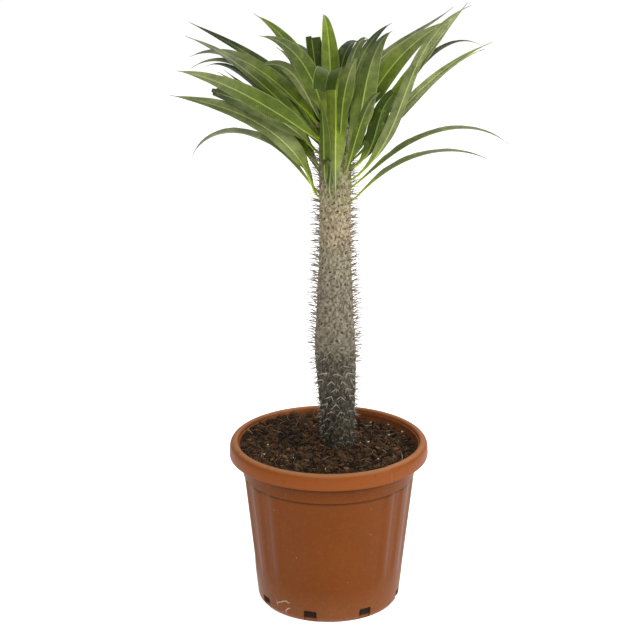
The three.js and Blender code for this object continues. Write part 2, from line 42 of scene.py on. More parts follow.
# ---------------------------------------------------------------- nursery pot
# An injection-moulded polypropylene pot, 27 cm across: a thin tapered wall with shallow panels,
# a turned-down rim that stiffens it, and eight slots at its foot that let the water out.

MM = 0.001
POT_COLUMNS = 480
RIM_SKIRT_HEIGHT = 209
FOOT_CHAMFER = 6
WALL_FOOT_RADIUS = 97.4
WALL_TOP_RADIUS = 119.6
WALL_THICKNESS = 2.4
PANEL_TOP = 183
PANEL_BOTTOM = 36
PANEL_DEPTH = 1.8
PANEL_SIDE_EDGE = 11
PANEL_TOP_EDGE = 1.2
PANEL_FADE = 40
PANELS = [(-88, 78), (-37.5, 9), (-18.5, 9)]
PANEL_REPEATS = 3
RIM_SEAM = -52
RIM_SEAM_STEP = 1.3
RIM_SEAM_WIDTH = 0.7
RIM_SEAM_END = 60
RIM_SEAM_FADE = 50
RIM_INNER_RADIUS = 123.5
FOOT_PROFILE = [
    (34, 0), (39, 3.5), (88.5, 3.5), (89.9, 3.2), (89.9, 0.5), (90.3, 0), (92.4, 0), (93.2, 0.4),
    (97, 5.5),
]
RIM_PROFILE = [
    (120.6, 217), (121.4, 224.6), (122.4, 225.2), (130.4, 225.2), (132.2, 224), (132.6, 222),
    (132.6, 215), (132.6, 209.4), (132.9, 209), (134.1, 208.9), (134.7, 209.4), (135, 211),
    (134.9, 216), (134.6, 221), (134.2, 223.6), (133.3, 226), (132, 227.8), (130.3, 229.1),
    (128.4, 229.8), (126.6, 230), (125, 229.6), (124, 228.6), (123.3, 226.5), (121, 220),
    (117.4, 209),
]
FLOOR_PROFILE = [(39, 6), (34, 2.5)]
SLOT_COUNT = 8
SLOT_FIRST = 30
SLOT_WIDTH = 18
SLOT_HEIGHT = 17.5
SLOT_CORNER = 2.5
SLOT_BOTTOM = -5
SLOT_REACH = (-4.5, 12)


def linear(code):
    """The linear colour of an sRGB hex value."""
    shares = [int(code[i:i + 2], 16) / 255 for i in (1, 3, 5)]
    return tuple(c / 12.92 if c <= 0.04045 else ((c + 0.055) / 1.055) ** 2.4 for c in shares) + (1,)


def add(tree, kind, inputs=(), out=None, **settings):
    """Adds a node, with its inputs in order or by name. Gives its first output, or a named one."""
    node = tree.nodes.new(kind)
    for name, value in settings.items():
        setattr(node, name, value)
    shown = [socket for socket in node.inputs if socket.enabled]
    if isinstance(inputs, dict):
        names = [socket.name for socket in shown]
        shown = [shown[names.index(name)] for name in inputs]
        inputs = inputs.values()
    for socket, value in zip(shown, inputs):
        if isinstance(value, bpy.types.NodeSocket):
            tree.links.new(value, socket)
        else:
            socket.default_value = value
    if out:
        return node.outputs[out]
    return next(socket for socket in node.outputs if socket.enabled)


def lay_over(tree, colour, tone, pattern, span, most=1, fade="LINEAR", blend="MIX"):
    """Lays a tone over a colour, by up to most, as a pattern goes from one value to another."""
    share = add(tree, "ShaderNodeMapRange", [pattern, *span, 0, most], interpolation_type=fade)
    if isinstance(tone, str):
        tone = linear(tone)
    return add(tree, "ShaderNodeMix", [share, colour, tone], data_type="RGBA", blend_type=blend)


def new_material(name):
    """A material with only a Principled shader. Gives the material, its tree and the shader."""
    material = bpy.data.materials.new(name)
    material.use_nodes = True
    tree = material.node_tree
    shader = tree.nodes["Principled BSDF"]
    return material, tree, shader


def dress(tree, shader, colour, heights, strength, depth, values):
    """Ends a material with its colour, a relief of some depth in millimetres, and its other values."""
    relief = add(tree, "ShaderNodeBump", {"Strength": strength, "Distance": depth * MM, "Height": heights})
    tree.links.new(relief, shader.inputs["Normal"])
    tree.links.new(colour, shader.inputs["Base Color"])
    for name, value in values.items():
        shader.inputs[name].default_value = value


def new_piece(name, points, faces, attributes=None):
    """A mesh object from points in millimetres, with one number or vector a point for each attribute."""
    mesh = bpy.data.meshes.new(name)
    mesh.from_pydata([[c * MM for c in point] for point in points], [], faces)
    for label, values in (attributes or {}).items():
        wide = np.ndim(values) == 2
        layer = mesh.attributes.new(label, "FLOAT_VECTOR" if wide else "FLOAT", "POINT")
        layer.data.foreach_set("vector" if wide else "value", np.ravel(values).astype(np.float32))
    piece = bpy.data.objects.new(name, mesh)
    scene.collection.objects.link(piece)
    return piece


def smooth_faces(piece, crease):
    """Smooth shading, but sharp where faces meet at more than the crease angle in degrees."""
    piece.data.shade_smooth()
    piece.data.set_sharp_from_angle(angle=math.radians(crease))


def geometry_tree(name, inputs):
    """A geometry tree with named inputs. Gives the tree, its input sockets and its last socket."""
    tree = bpy.data.node_groups.new(name, "GeometryNodeTree")
    tree.interface.new_socket("Geometry", in_out="INPUT", socket_type="NodeSocketGeometry")
    for label, (kind, value) in inputs.items():
        socket = tree.interface.new_socket(label, in_out="INPUT", socket_type="NodeSocket" + kind)
        if value is not None:
            socket.default_value = value
    tree.interface.new_socket("Geometry", in_out="OUTPUT", socket_type="NodeSocketGeometry")
    given = tree.nodes.new("NodeGroupInput").outputs
    made = tree.nodes.new("NodeGroupOutput").inputs[0]
    return tree, given, made


def grown(name, source, tree, values):
    """The plain mesh that a geometry tree makes from a source object, which is used up."""
    growth = source.modifiers.new("growth", "NODES")
    growth.node_group = tree
    for item in tree.interface.items_tree:
        if item.item_type == "SOCKET" and item.in_out == "INPUT" and item.name in values:
            growth[item.identifier] = values[item.name]
    evaluated = source.evaluated_get(bpy.context.evaluated_depsgraph_get())
    mesh = bpy.data.meshes.new_from_object(evaluated)
    bpy.data.objects.remove(source)
    shape = bmesh.new()
    shape.from_mesh(mesh)
    bmesh.ops.recalc_face_normals(shape, faces=shape.faces)
    shape.to_mesh(mesh)
    shape.free()
    mesh.name = name
    piece = bpy.data.objects.new(name, mesh)
    scene.collection.objects.link(piece)
    return piece


def eased(share):
    """0 below 0, 1 above 1, and a smooth step between them."""
    share = np.clip(share, 0, 1)
    return share * share * (3 - 2 * share)


def wall_radius(height):
    """The wall's outer radius at a height."""
    share = (height - FOOT_CHAMFER) / (RIM_SKIRT_HEIGHT - FOOT_CHAMFER)
    return WALL_FOOT_RADIUS + (WALL_TOP_RADIUS - WALL_FOOT_RADIUS) * share


def panel_recess(azimuth, height):
    """How far the wall is sunk at an azimuth in degrees and a height."""
    sunk = np.zeros_like(azimuth)
    radius = wall_radius(height)
    for repeat in range(PANEL_REPEATS):
        for middle, width in PANELS:
            away = (azimuth - middle - repeat * 360 / PANEL_REPEATS + 180) % 360 - 180
            across = np.abs(np.radians(away)) * radius
            half = math.radians(width) / 2 * radius
            sunk = np.maximum(sunk, eased(0.5 - (across - half) / PANEL_SIDE_EDGE))
    sunk *= float(eased(0.5 - (height - PANEL_TOP) / PANEL_TOP_EDGE))
    fade = float(eased((height - PANEL_BOTTOM) / PANEL_FADE))
    return sunk * PANEL_DEPTH * fade


def tube_faces(rings, sides, poles=False):
    """Faces between rings of points, which may be closed by two poles that follow the last ring."""
    faces = []
    for start in range(0, (rings - 1) * sides, sides):
        for i in range(sides):
            j = (i + 1) % sides
            faces.append((start + i, start + j, start + sides + j, start + sides + i))
    if poles:
        pole = rings * sides
        for i in range(sides):
            j = (i + 1) % sides
            faces += [(j, i, pole), (pole - sides + i, pole - sides + j, pole + 1)]
    return faces


def hand_over(tree, shape, material, made):
    """Ends a geometry tree: what it made becomes one plain mesh of one material."""
    whole = add(tree, "GeometryNodeRealizeInstances", [shape])
    finished = add(tree, "GeometryNodeSetMaterial", {"Geometry": whole, "Material": material})
    tree.links.new(finished, made)


def pot_shell():
    """The pot's closed shell, turned from its outline, with panels and the step in its rim."""
    wall = [(wall_radius(z), z) for z in [7, 12, 20, 28, 36]]
    wall += [(wall_radius(z), z) for z in np.linspace(42, 168, 22)]
    wall += [(wall_radius(z), z) for z in np.arange(170, 188.5, 0.45)]
    wall += [(wall_radius(z), z) for z in [192, 198, 204, 209]]
    inside = [(wall_radius(z) - WALL_THICKNESS, z) for z in [200, 150, 100, 50, 6]]
    outline = FOOT_PROFILE + wall + RIM_PROFILE + inside + FLOOR_PROFILE
    azimuth = np.arange(POT_COLUMNS) * 360 / POT_COLUMNS
    angle = np.radians(azimuth)
    to_seam = (azimuth - RIM_SEAM + 180) % 360 - 180
    step = RIM_SEAM_STEP * eased(to_seam / RIM_SEAM_WIDTH + 0.5)
    step *= eased((RIM_SEAM_END - to_seam) / RIM_SEAM_FADE)
    points = []
    for k, (radius, height) in enumerate(outline):
        around = np.full(POT_COLUMNS, float(radius))
        if k < len(FOOT_PROFILE) + len(wall) and height < RIM_SKIRT_HEIGHT:
            around -= panel_recess(azimuth, height)
        if height >= RIM_SKIRT_HEIGHT - 0.2 and radius > RIM_INNER_RADIUS:
            around -= step
        heights = np.full(POT_COLUMNS, height)
        points += np.column_stack([around * np.cos(angle), around * np.sin(angle), heights]).tolist()
    points += [(0, 0, FOOT_PROFILE[0][1]), (0, 0, FLOOR_PROFILE[-1][1])]
    return new_piece("pot_blank", points, tube_faces(len(outline), POT_COLUMNS, True))


def slot_cutter():
    """A round-cornered tunnel, pushed out through the wall along +X."""
    outline = [(-SLOT_WIDTH / 2, SLOT_BOTTOM), (SLOT_WIDTH / 2, SLOT_BOTTOM)]
    for corner, start in [(1, 0), (-1, 90)]:
        for turn in np.radians(np.linspace(start, start + 90, 5)):
            across = corner * (SLOT_WIDTH / 2 - SLOT_CORNER) + SLOT_CORNER * math.cos(turn)
            outline.append((across, SLOT_HEIGHT - SLOT_CORNER + SLOT_CORNER * math.sin(turn)))
    count = len(outline)
    points = [(x, y, z) for x in SLOT_REACH for y, z in outline]
    faces = [tuple(range(count))[::-1], tuple(range(count, 2 * count))]
    return new_piece("slot_cutter", points, faces + tube_faces(2, count))


def slotted_pot():
    """Geometry tree: cuts the same slot through the wall at even steps round the foot."""
    tree, given, made = geometry_tree("drain slots", {
        "Cutter": ("Object", None),
        "Slots": ("Int", SLOT_COUNT),
        "Radius": ("Float", WALL_FOOT_RADIUS * MM),
        "First angle": ("Float", math.radians(SLOT_FIRST)),
    })
    cutter = add(tree, "GeometryNodeObjectInfo", {"Object": given["Cutter"]}, out="Geometry")
    ring = add(tree, "GeometryNodeMeshCircle", {"Vertices": given["Slots"], "Radius": given["Radius"]})
    index = add(tree, "GeometryNodeInputIndex")
    share = add(tree, "ShaderNodeMath", [index, given["Slots"]], operation="DIVIDE")
    angle = add(tree, "ShaderNodeMath", [share, 2 * math.pi], operation="MULTIPLY")
    facing = add(tree, "ShaderNodeCombineXYZ", [0, 0, angle])
    turned = add(tree, "FunctionNodeEulerToRotation", [facing])
    standing = {"Points": ring, "Instance": cutter, "Rotation": turned}
    slots = add(tree, "GeometryNodeInstanceOnPoints", standing)
    first = add(tree, "ShaderNodeCombineXYZ", [0, 0, given["First angle"]])
    placed = add(tree, "GeometryNodeTransform", {"Geometry": slots, "Rotation": first})
    tunnels = add(tree, "GeometryNodeRealizeInstances", [placed])
    parts = {"Mesh 1": given["Geometry"], "Mesh 2": tunnels}
    cut = add(tree, "GeometryNodeMeshBoolean", parts, operation="DIFFERENCE")
    hand_over(tree, cut, pot_plastic(), made)
    return tree


def pot_plastic():
    """Moulded polypropylene, coloured through: satin, with soil dust, water marks and a few nicks."""
    material, tree, shader = new_material("moulded_polypropylene")
    place = add(tree, "ShaderNodeTexCoord", out="Object")
    height = add(tree, "ShaderNodeSeparateXYZ", [place], out="Z")
    # The flow of the melt leaves broad clouds of tone, some 60 mm across.
    cloud = add(tree, "ShaderNodeTexNoise", {"Vector": place, "Scale": 16, "Detail": 3})
    colour = add(tree, "ShaderNodeMix", [cloud, linear("#653208"), linear("#743b0b")], data_type="RGBA")
    # Where the wall cooled last it is mottled a little lighter, in spots of 3 mm.
    spots = add(tree, "ShaderNodeTexNoise", {"Vector": place, "Scale": 240, "Detail": 2})
    colour = lay_over(tree, colour, "#96561f", spots, (0.5, 0.7), 0.13)
    # Painted shade: dark bands in the corners under the ledge of the panels and under the lip, where their
    # shadow falls.
    for low, high, strength in [(0.1778, 0.1834, 0.7), (0.1965, 0.2062, 0.85)]:
        span = [height, low, high - 0.001, 0, strength]
        inner = add(tree, "ShaderNodeMapRange", span, interpolation_type="SMOOTHSTEP")
        below = add(tree, "ShaderNodeMath", [height, high], operation="LESS_THAN")
        painted_shade = add(tree, "ShaderNodeMath", [inner, below], operation="MULTIPLY")
        colour = add(tree, "ShaderNodeMix", [painted_shade, colour, linear("#2c1404")], data_type="RGBA")
    # The rim is a paler tone, and a painted highlight runs along its crest.
    on_rim = add(tree, "ShaderNodeMapRange", [height, 0.206, 0.212], interpolation_type="SMOOTHSTEP")
    colour = add(tree, "ShaderNodeMix", [on_rim, colour, linear("#84451a")], data_type="RGBA")
    colour = lay_over(tree, colour, "#b07a50", height, (0.2262, 0.2294), 0.6, "SMOOTHSTEP")
    # Soil has been rubbed into it in smears about 8 mm long.
    smears = add(tree, "ShaderNodeTexNoise", {"Vector": place, "Scale": 85, "Detail": 6, "Roughness": 0.7})
    smeared = add(tree, "ShaderNodeMapRange", [smears, 0.56, 0.72, 0, 0.4])
    grime = add(tree, "ShaderNodeMath", [smeared, on_rim], operation="MULTIPLY")
    colour = add(tree, "ShaderNodeMix", [grime, colour, linear("#5a3016")], data_type="RGBA")
    # The foot is worn pale by standing on grit.
    grit = add(tree, "ShaderNodeTexNoise", {"Vector": place, "Scale": 260, "Detail": 5})
    at_foot = add(tree, "ShaderNodeMapRange", [height, 0.05, 0.0, 0, 0.5])
    wear_and_highlight = add(tree, "ShaderNodeMath", [grit, at_foot], operation="MULTIPLY")
    colour = add(tree, "ShaderNodeMix", [wear_and_highlight, colour, linear("#94684c")], data_type="RGBA")
    # Inside, above the soil, it is patchily filmed with dried silt from watering.
    flat = add(tree, "ShaderNodeVectorMath", [place, (1, 1, 0)], operation="MULTIPLY")
    from_axis = add(tree, "ShaderNodeVectorMath", [flat], operation="LENGTH")
    patchy = add(tree, "ShaderNodeMapRange", [smears, 0.4, 0.6, 0.15, 0.8])
    inward = add(tree, "ShaderNodeMapRange", [from_axis, 0.1248, 0.119, 0, patchy])
    filmed = add(tree, "ShaderNodeMath", [inward, on_rim], operation="MULTIPLY")
    colour = add(tree, "ShaderNodeMix", [filmed, colour, linear("#45362a")], data_type="RGBA")
    # Grains of dust and hard water, 1 to 1.5 mm across, one in some 20 mm of wall.
    cells = add(tree, "ShaderNodeTexVoronoi", {"Vector": place, "Scale": 70, "Randomness": 1})
    chance = add(tree, "ShaderNodeSeparateColor", [cells.node.outputs["Color"]])
    small = add(tree, "ShaderNodeMapRange", [cells, 0.055, 0.035])
    rare = add(tree, "ShaderNodeMath", [chance, 0.86], operation="GREATER_THAN")
    dust = add(tree, "ShaderNodeMath", [small, rare], operation="MULTIPLY")
    faint = add(tree, "ShaderNodeMath", [dust, 0.55], operation="MULTIPLY")
    colour = add(tree, "ShaderNodeMix", [faint, colour, linear("#c9b39c")], data_type="RGBA")
    # Single marks: where each is, how large, how strong, and its colour.
    marks = [
        ((-57, -79.8, 11.5), 3, 0.7, "#a3352a"),
        ((25.6, -100.1, 61.8), 1.3, 0.8, "#d8c9b4"),
        ((9.5, -104.2, 72.5), 1.2, 0.7, "#d8c9b4"),
        ((-55.4, -102, 177.3), 1.2, 0.7, "#d8c9b4"),
        ((-50.1, -104.6, 177), 1.2, 0.7, "#d8c9b4"),
        ((47.8, -124, 229.6), 2, 0.75, "#3c2212"),
        ((59.8, -119.5, 224.5), 2.2, 0.6, "#5a3218"),
        ((65, -117.4, 218), 1.5, 0.5, "#5a3218"),
    ]
    for spot, size, strength, tone in marks:
        centre = [c * MM for c in spot]
        away = add(tree, "ShaderNodeVectorMath", [place, centre], operation="DISTANCE")
        ragged = add(tree, "ShaderNodeMath", [grit, size * MM, away], operation="MULTIPLY_ADD")
        colour = lay_over(tree, colour, tone, ragged, (1.5 * size * MM, 0.9 * size * MM), strength)
    # A scuff near the foot: pale curved scratches about 0.8 mm wide in a patch 26 mm across.
    centre = (-0.0614, -0.0773, 0.0194)
    away = add(tree, "ShaderNodeVectorMath", [place, centre], operation="DISTANCE")
    patch = add(tree, "ShaderNodeMapRange", [away, 0.014, 0.007, 0, 0.8])
    swirl = add(tree, "ShaderNodeTexNoise", {"Vector": place, "Scale": 75, "Detail": 1})
    off_line = add(tree, "ShaderNodeMath", [swirl, 0.5], operation="SUBTRACT")
    from_line = add(tree, "ShaderNodeMath", [off_line], operation="ABSOLUTE")
    scratch = add(tree, "ShaderNodeMapRange", [from_line, 0.035, 0.012])
    scuff = add(tree, "ShaderNodeMath", [scratch, patch], operation="MULTIPLY")
    colour = add(tree, "ShaderNodeMix", [scuff, colour, linear("#d9cfc2")], data_type="RGBA")
    gloss = add(tree, "ShaderNodeMapRange", [cloud, 0.3, 0.7, 0.38, 0.48])
    tree.links.new(gloss, shader.inputs["Roughness"])
    # The mould was spark-eroded: a fine grain, drawn 2 mm coarse so that it shows.
    grain = add(tree, "ShaderNodeTexNoise", {"Vector": place, "Scale": 500, "Detail": 2})
    waves = add(tree, "ShaderNodeMath", [cloud, 8, grain], operation="MULTIPLY_ADD")
    dress(tree, shader, colour, waves, 0.12, 0.3, {"IOR": 1.49, "Specular IOR Level": 0.11})
    return material


cutter = slot_cutter()
pot = grown("nursery_pot", pot_shell(), slotted_pot(), {"Cutter": cutter})
bpy.data.objects.remove(cutter)
smooth_faces(pot, 38)
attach(pot, "root")
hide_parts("pot")

# ---------------------------------------------------------------- potting soil
# Peat and composted bark, filled to just under the rim and heaped a little round the stem. Its
# top is crumbly, with bark chips, reddish fibres and white grains of perlite.

SOIL_LEVEL = 218
SOIL_SLOPE = 0.004
SOIL_MOUND = 5
SOIL_MOUND_RADIUS = 60
SOIL_SIDE_RISE = 0.05
SOIL_FLARE = 0.33
SOIL_COLUMNS = 400
SOIL_RINGS = 88
SOIL_UNDERSIDE = [(33.7, 2.8), (38.7, 6.3), (94.7, 6.3), (116.9, 205)]
STEM_MIDDLE = (14, 4)
STEM_HOLE = 21.2
SOIL_PIT = [(20.6, 190), (17.6, 150), (8.2, 120)]
STEM_ROOT = 116.5
CLOD_COUNT = 90
CLOD_REACH = 124
CLOD_HEIGHT = 3.2
CLOD_RADIUS = 17
# Lumps of the top: how wide they are, how far they stand up, and how uneven they are in height.
LUMPS = [(15, 4.2, 2.8), (6.5, 1.9, 1.2)]
LUMP_SWAY = 0.35
LUMP_EDGE = 0.4
# Crumbs and grains on the lumps: how wide they are, and how far they stand up.
CRUMBS = [(5.5, 0.9), (2.6, 0.8)]
SOIL_TOP_ABOVE = 205
LITTER_LOWEST = 208
PERLITE_PLACES = [
    (59, 98), (84, 84), (83, 37), (43, 7), (54, 3.5), (-108, 11), (-83, -4), (-66, 3.5), (-87, -36),
    (-48, -43), (-102, -22), (102, 52), (-5, -79), (-27, 104), (25, -60), (66, -48), (-20, 72),
]


def seeded_random(seed):
    """Numbers from 0 to 1, the same ones for the same seed."""
    state = seed
    while True:
        state = (state * 1664525 + 1013904223) % 4294967296
        yield state / 4294967296


def strewn_clods():
    """Low lumps: the place, radius and height of each."""
    draw = seeded_random(21)
    clods = []
    for _ in range(CLOD_COUNT):
        azimuth = 2 * math.pi * next(draw)
        distance = CLOD_REACH * math.sqrt(next(draw))
        radius = CLOD_RADIUS * (0.55 + 0.45 * next(draw))
        height = CLOD_HEIGHT * (next(draw) - 0.3)
        clods.append((distance * math.cos(azimuth), distance * math.sin(azimuth), radius, height))
    return clods


def soil_top(x, y, clods):
    """The height of the soil's top at a place, how deep in a crevice it is (which sets the painted shade
    there), and its lump's tone.
    """
    away = math.hypot(x - STEM_MIDDLE[0], y - STEM_MIDDLE[1]) / SOIL_MOUND_RADIUS
    height = SOIL_LEVEL - SOIL_SLOPE * y + SOIL_MOUND * math.exp(-away * away) - 2
    # It lies higher on the left and at the back left, where it was filled in.
    left = SOIL_SIDE_RISE * max(-x - 15, 0)
    height += left + SOIL_SIDE_RISE * max(y, 0) * min(max(-x / 60, 0), 1)
    for clod_x, clod_y, radius, rise in clods:
        near = 1 - ((x - clod_x) ** 2 + (y - clod_y) ** 2) / radius ** 2
        height += rise * near * near if near > 0 else 0
    crevice_shade, tone = 0, 0
    for size, rise, uneven in LUMPS:
        across, back = x / size, y / size
        sway = [noise.noise(Vector((1.7 * across, 1.7 * back, shift))) for shift in (3.7, 41.3)]
        across += LUMP_SWAY * sway[0]
        back += LUMP_SWAY * sway[1]
        near, cells = noise.voronoi(Vector((across, back, 0.5)))
        chance = 0.5 + 0.5 * noise.cell(cells[0] * 7.3)
        inside = float(eased((near[1] - near[0]) / LUMP_EDGE))
        height += rise * (inside - 0.6) + uneven * (chance - 0.5)
        crevice_shade = max(crevice_shade, (1 - inside) * (1 if size > 10 else 0.7))
        tone += (0.6 if size > 10 else 0.4) * chance
    for size, rise in CRUMBS:
        height += rise * noise.noise(Vector((x / size, y / size, size)))
    return height, crevice_shade, tone


def soil_body():
    """The soil's closed body: its top from the bark to the wall, its sides, and a pit for the stem."""
    clods = strewn_clods()
    points = []
    crevice_shades, tones = [], []
    angles = [2 * math.pi * i / SOIL_COLUMNS for i in range(SOIL_COLUMNS)]
    wall_at_top = wall_radius(SOIL_LEVEL) - WALL_THICKNESS + 0.3
    for radius, height in SOIL_UNDERSIDE:
        points += [(radius * math.cos(angle), radius * math.sin(angle), height) for angle in angles]
    for ring in range(SOIL_RINGS + 1):
        share = 1 - ring / SOIL_RINGS
        for angle in angles:
            ahead = (math.cos(angle), math.sin(angle))
            lean = STEM_MIDDLE[0] * ahead[0] + STEM_MIDDLE[1] * ahead[1]
            spread = STEM_MIDDLE[0] ** 2 + STEM_MIDDLE[1] ** 2
            reach = -lean + math.sqrt(lean * lean + wall_at_top ** 2 - spread)
            away = STEM_HOLE + (reach - STEM_HOLE) * share
            x, y = STEM_MIDDLE[0] + away * ahead[0], STEM_MIDDLE[1] + away * ahead[1]
            height, crevice_shade, tone = soil_top(x, y, clods)
            # Where it lies high it fills the rim, which flares outward.
            flare = 1 + SOIL_FLARE * max(height - SOIL_LEVEL, 0) * share ** 8 / wall_at_top
            points.append((x * flare, y * flare, height))
            crevice_shades.append(crevice_shade)
            tones.append(tone)
    for radius, height in SOIL_PIT:
        for angle in angles:
            x = STEM_MIDDLE[0] + radius * math.cos(angle)
            y = STEM_MIDDLE[1] + radius * math.sin(angle)
            points.append((x, y, height))
    faces = tube_faces(len(points) // SOIL_COLUMNS, SOIL_COLUMNS, True)
    points += [(0, 0, SOIL_UNDERSIDE[0][1]), (*STEM_MIDDLE, STEM_ROOT)]
    below = [0] * (len(SOIL_UNDERSIDE) * SOIL_COLUMNS)
    rest = [0] * (len(points) - len(below) - len(tones))
    looks = {"crevice_shade": below + crevice_shades + rest, "clump": below + tones + rest}
    return new_piece("potting_soil", points, faces, looks)


def lump(name, subdivisions, stretch, rough, seed):
    """A small ragged grain, 2 mm across before it is stretched."""
    shape = bmesh.new()
    bmesh.ops.create_icosphere(shape, subdivisions=subdivisions, radius=1)
    points = []
    for vertex in shape.verts:
        swell = 1 + rough * noise.noise(vertex.co * 1.7 + Vector((seed, 0, 0)))
        points.append([c * swell * s for c, s in zip(vertex.co, stretch)])
    faces = [[vertex.index for vertex in face.verts] for face in shape.faces]
    shape.free()
    return new_piece(name, points, faces)


def strand(name, length, thickness, bend, segments):
    """A bent three-sided fibre, lying along X."""
    points = []
    for k in range(segments + 1):
        share = k / segments
        girth = thickness * (1 - 0.75 * abs(2 * share - 1) ** 3)
        for corner in range(3):
            turn = 2 * math.pi * corner / 3
            x = length * (share - 0.5)
            y = bend * (1 - (2 * share - 1) ** 2) + girth * math.cos(turn)
            points.append((x, y, girth * math.sin(turn) + 0.4 * bend * math.sin(5 * share)))
    ends = [(2, 1, 0), (3 * segments, 3 * segments + 1, 3 * segments + 2)]
    return new_piece(name, points, tube_faces(segments + 1, 3) + ends)


def litter_tree():
    """Geometry tree: strews one kind of grain over the faces of the soil's top that look upward."""
    tree, given, made = geometry_tree("litter on soil", {
        "Grain": ("Object", None),
        "Per square metre": ("Float", 1000),
        "Smallest": ("Float", 0.5),
        "Largest": ("Float", 1.5),
        "Tilt": ("Float", 0.4),
        "Lift": ("Float", 0.3 * MM),
        "Seed": ("Int", 1),
        "Finish": ("Material", None),
    })
    seed = given["Seed"]
    facing = add(tree, "GeometryNodeInputNormal")
    upright = add(tree, "ShaderNodeSeparateXYZ", [facing], out="Z")
    place = add(tree, "GeometryNodeInputPosition")
    height = add(tree, "ShaderNodeSeparateXYZ", [place], out="Z")
    level, top, sunken = [
        add(tree, "FunctionNodeCompare", pair, data_type="FLOAT", operation=relation)
        for pair, relation in [
            ([upright, 0.35], "GREATER_THAN"),
            ([height, SOIL_TOP_ABOVE * MM], "GREATER_THAN"),
            ([height, LITTER_LOWEST * MM], "LESS_THAN"),
        ]
    ]
    on_top = add(tree, "FunctionNodeBooleanMath", [level, top], operation="AND")
    strewn = add(tree, "GeometryNodeDistributePointsOnFaces", {
        "Mesh": given["Geometry"],
        "Selection": on_top,
        "Density": given["Per square metre"],
        "Seed": seed,
    })
    lost = {"Geometry": strewn, "Selection": sunken}
    spots = add(tree, "GeometryNodeDeleteGeometry", lost, domain="POINT")
    grain = add(tree, "GeometryNodeObjectInfo", {"Object": given["Grain"]}, out="Geometry")
    least = add(tree, "ShaderNodeMath", [given["Tilt"], -1], operation="MULTIPLY")
    lean_low = add(tree, "ShaderNodeCombineXYZ", [least, least, 0])
    lean_high = add(tree, "ShaderNodeCombineXYZ", [given["Tilt"], given["Tilt"], 6.283])
    leans = {"Min": lean_low, "Max": lean_high, "Seed": seed}
    lie = add(tree, "FunctionNodeRandomValue", leans, data_type="FLOAT_VECTOR")
    turned = add(tree, "FunctionNodeEulerToRotation", [lie])
    sizes = {"Min": given["Smallest"], "Max": given["Largest"], "Seed": seed}
    size = add(tree, "FunctionNodeRandomValue", sizes, data_type="FLOAT")
    lying = {"Points": spots, "Instance": grain, "Rotation": turned, "Scale": size}
    grains = add(tree, "GeometryNodeInstanceOnPoints", lying)
    lift = add(tree, "ShaderNodeCombineXYZ", [0, 0, given["Lift"]])
    upward = {"Instances": grains, "Translation": lift, "Local Space": False}
    raised = add(tree, "GeometryNodeTranslateInstances", upward)
    tones = {"Min": 0.0, "Max": 1.0, "Seed": 99}
    tone = add(tree, "FunctionNodeRandomValue", tones, data_type="FLOAT")
    kept = {"Geometry": raised, "Name": "tone", "Value": tone}
    toned = add(tree, "GeometryNodeStoreNamedAttribute", kept, data_type="FLOAT", domain="INSTANCE")
    hand_over(tree, toned, given["Finish"], made)
    return tree


def set_stops(ramp, stops):
    """Gives a colour ramp these stops in place of its own two."""
    for position, code in stops:
        ramp.elements.new(position).color = linear(code)
    ramp.elements.remove(ramp.elements[0])
    ramp.elements.remove(ramp.elements[-1])


def soil_material():
    """Damp peat: matt, near black in its pores and warm brown on its crumbs, with painted shade in its
    crevices.
    """
    material, tree, shader = new_material("damp_peat")
    place = add(tree, "ShaderNodeTexCoord", out="Object")
    # Crumbs of 3 to 8 mm, each its own tone, under a finer grain of about 1 mm.
    lumps = add(tree, "ShaderNodeTexNoise", {"Vector": place, "Scale": 150, "Detail": 6, "Roughness": 0.65})
    cells = add(tree, "ShaderNodeTexVoronoi", {"Vector": place, "Scale": 260}, out="Color")
    speck = add(tree, "ShaderNodeSeparateColor", [cells])
    crumbs = add(tree, "ShaderNodeMix", [0.35, lumps, speck], data_type="FLOAT")
    clump = add(tree, "ShaderNodeAttribute", out="Fac", attribute_name="clump")
    mixed = add(tree, "ShaderNodeMix", [0.4, crumbs, clump], data_type="FLOAT")
    shade = tree.nodes.new("ShaderNodeValToRGB")
    stops = [(0.0, "#150c05"), (0.36, "#24160b"), (0.56, "#3c2a18"), (0.8, "#664a2f")]
    set_stops(shade.color_ramp, stops)
    tree.links.new(mixed, shade.inputs[0])
    # Moss and rotted bark tint some lumps ochre, and painted shade makes the crevices nearly black.
    moss = add(tree, "ShaderNodeTexNoise", {"Vector": place, "Scale": 34, "Detail": 3})
    ochre = lay_over(tree, shade.outputs[0], "#5f4a20", moss, (0.54, 0.66), 0.45)
    crevice_shade = add(tree, "ShaderNodeAttribute", out="Fac", attribute_name="crevice_shade")
    colour = lay_over(tree, ochre, "#0c0704", crevice_shade, (0.2, 0.85), 0.92)
    dress(tree, shader, colour, crumbs, 0.9, 1.4, {"Roughness": 0.95, "Specular IOR Level": 0.25})
    return material


def litter_material(name, dark, light, roughness):
    """One finish for a kind of litter: every grain has its own tone between two colours."""
    material, tree, shader = new_material(name)
    tone = add(tree, "ShaderNodeAttribute", out="Fac", attribute_name="tone")
    place = add(tree, "ShaderNodeTexCoord", out="Object")
    # Pores and fibres of the grain, about 1 mm across.
    pores = add(tree, "ShaderNodeTexNoise", {"Vector": place, "Scale": 700, "Detail": 4})
    mixed = add(tree, "ShaderNodeMix", [0.35, tone, pores], data_type="FLOAT")
    colour = add(tree, "ShaderNodeMix", [mixed, linear(dark), linear(light)], data_type="RGBA")
    dress(tree, shader, colour, pores, 0.6, 0.5, {"Roughness": roughness, "Specular IOR Level": 0.3})
    return material


soil = soil_body()
smooth_faces(soil, 60)
soil.data.materials.append(soil_material())
litter = litter_tree()
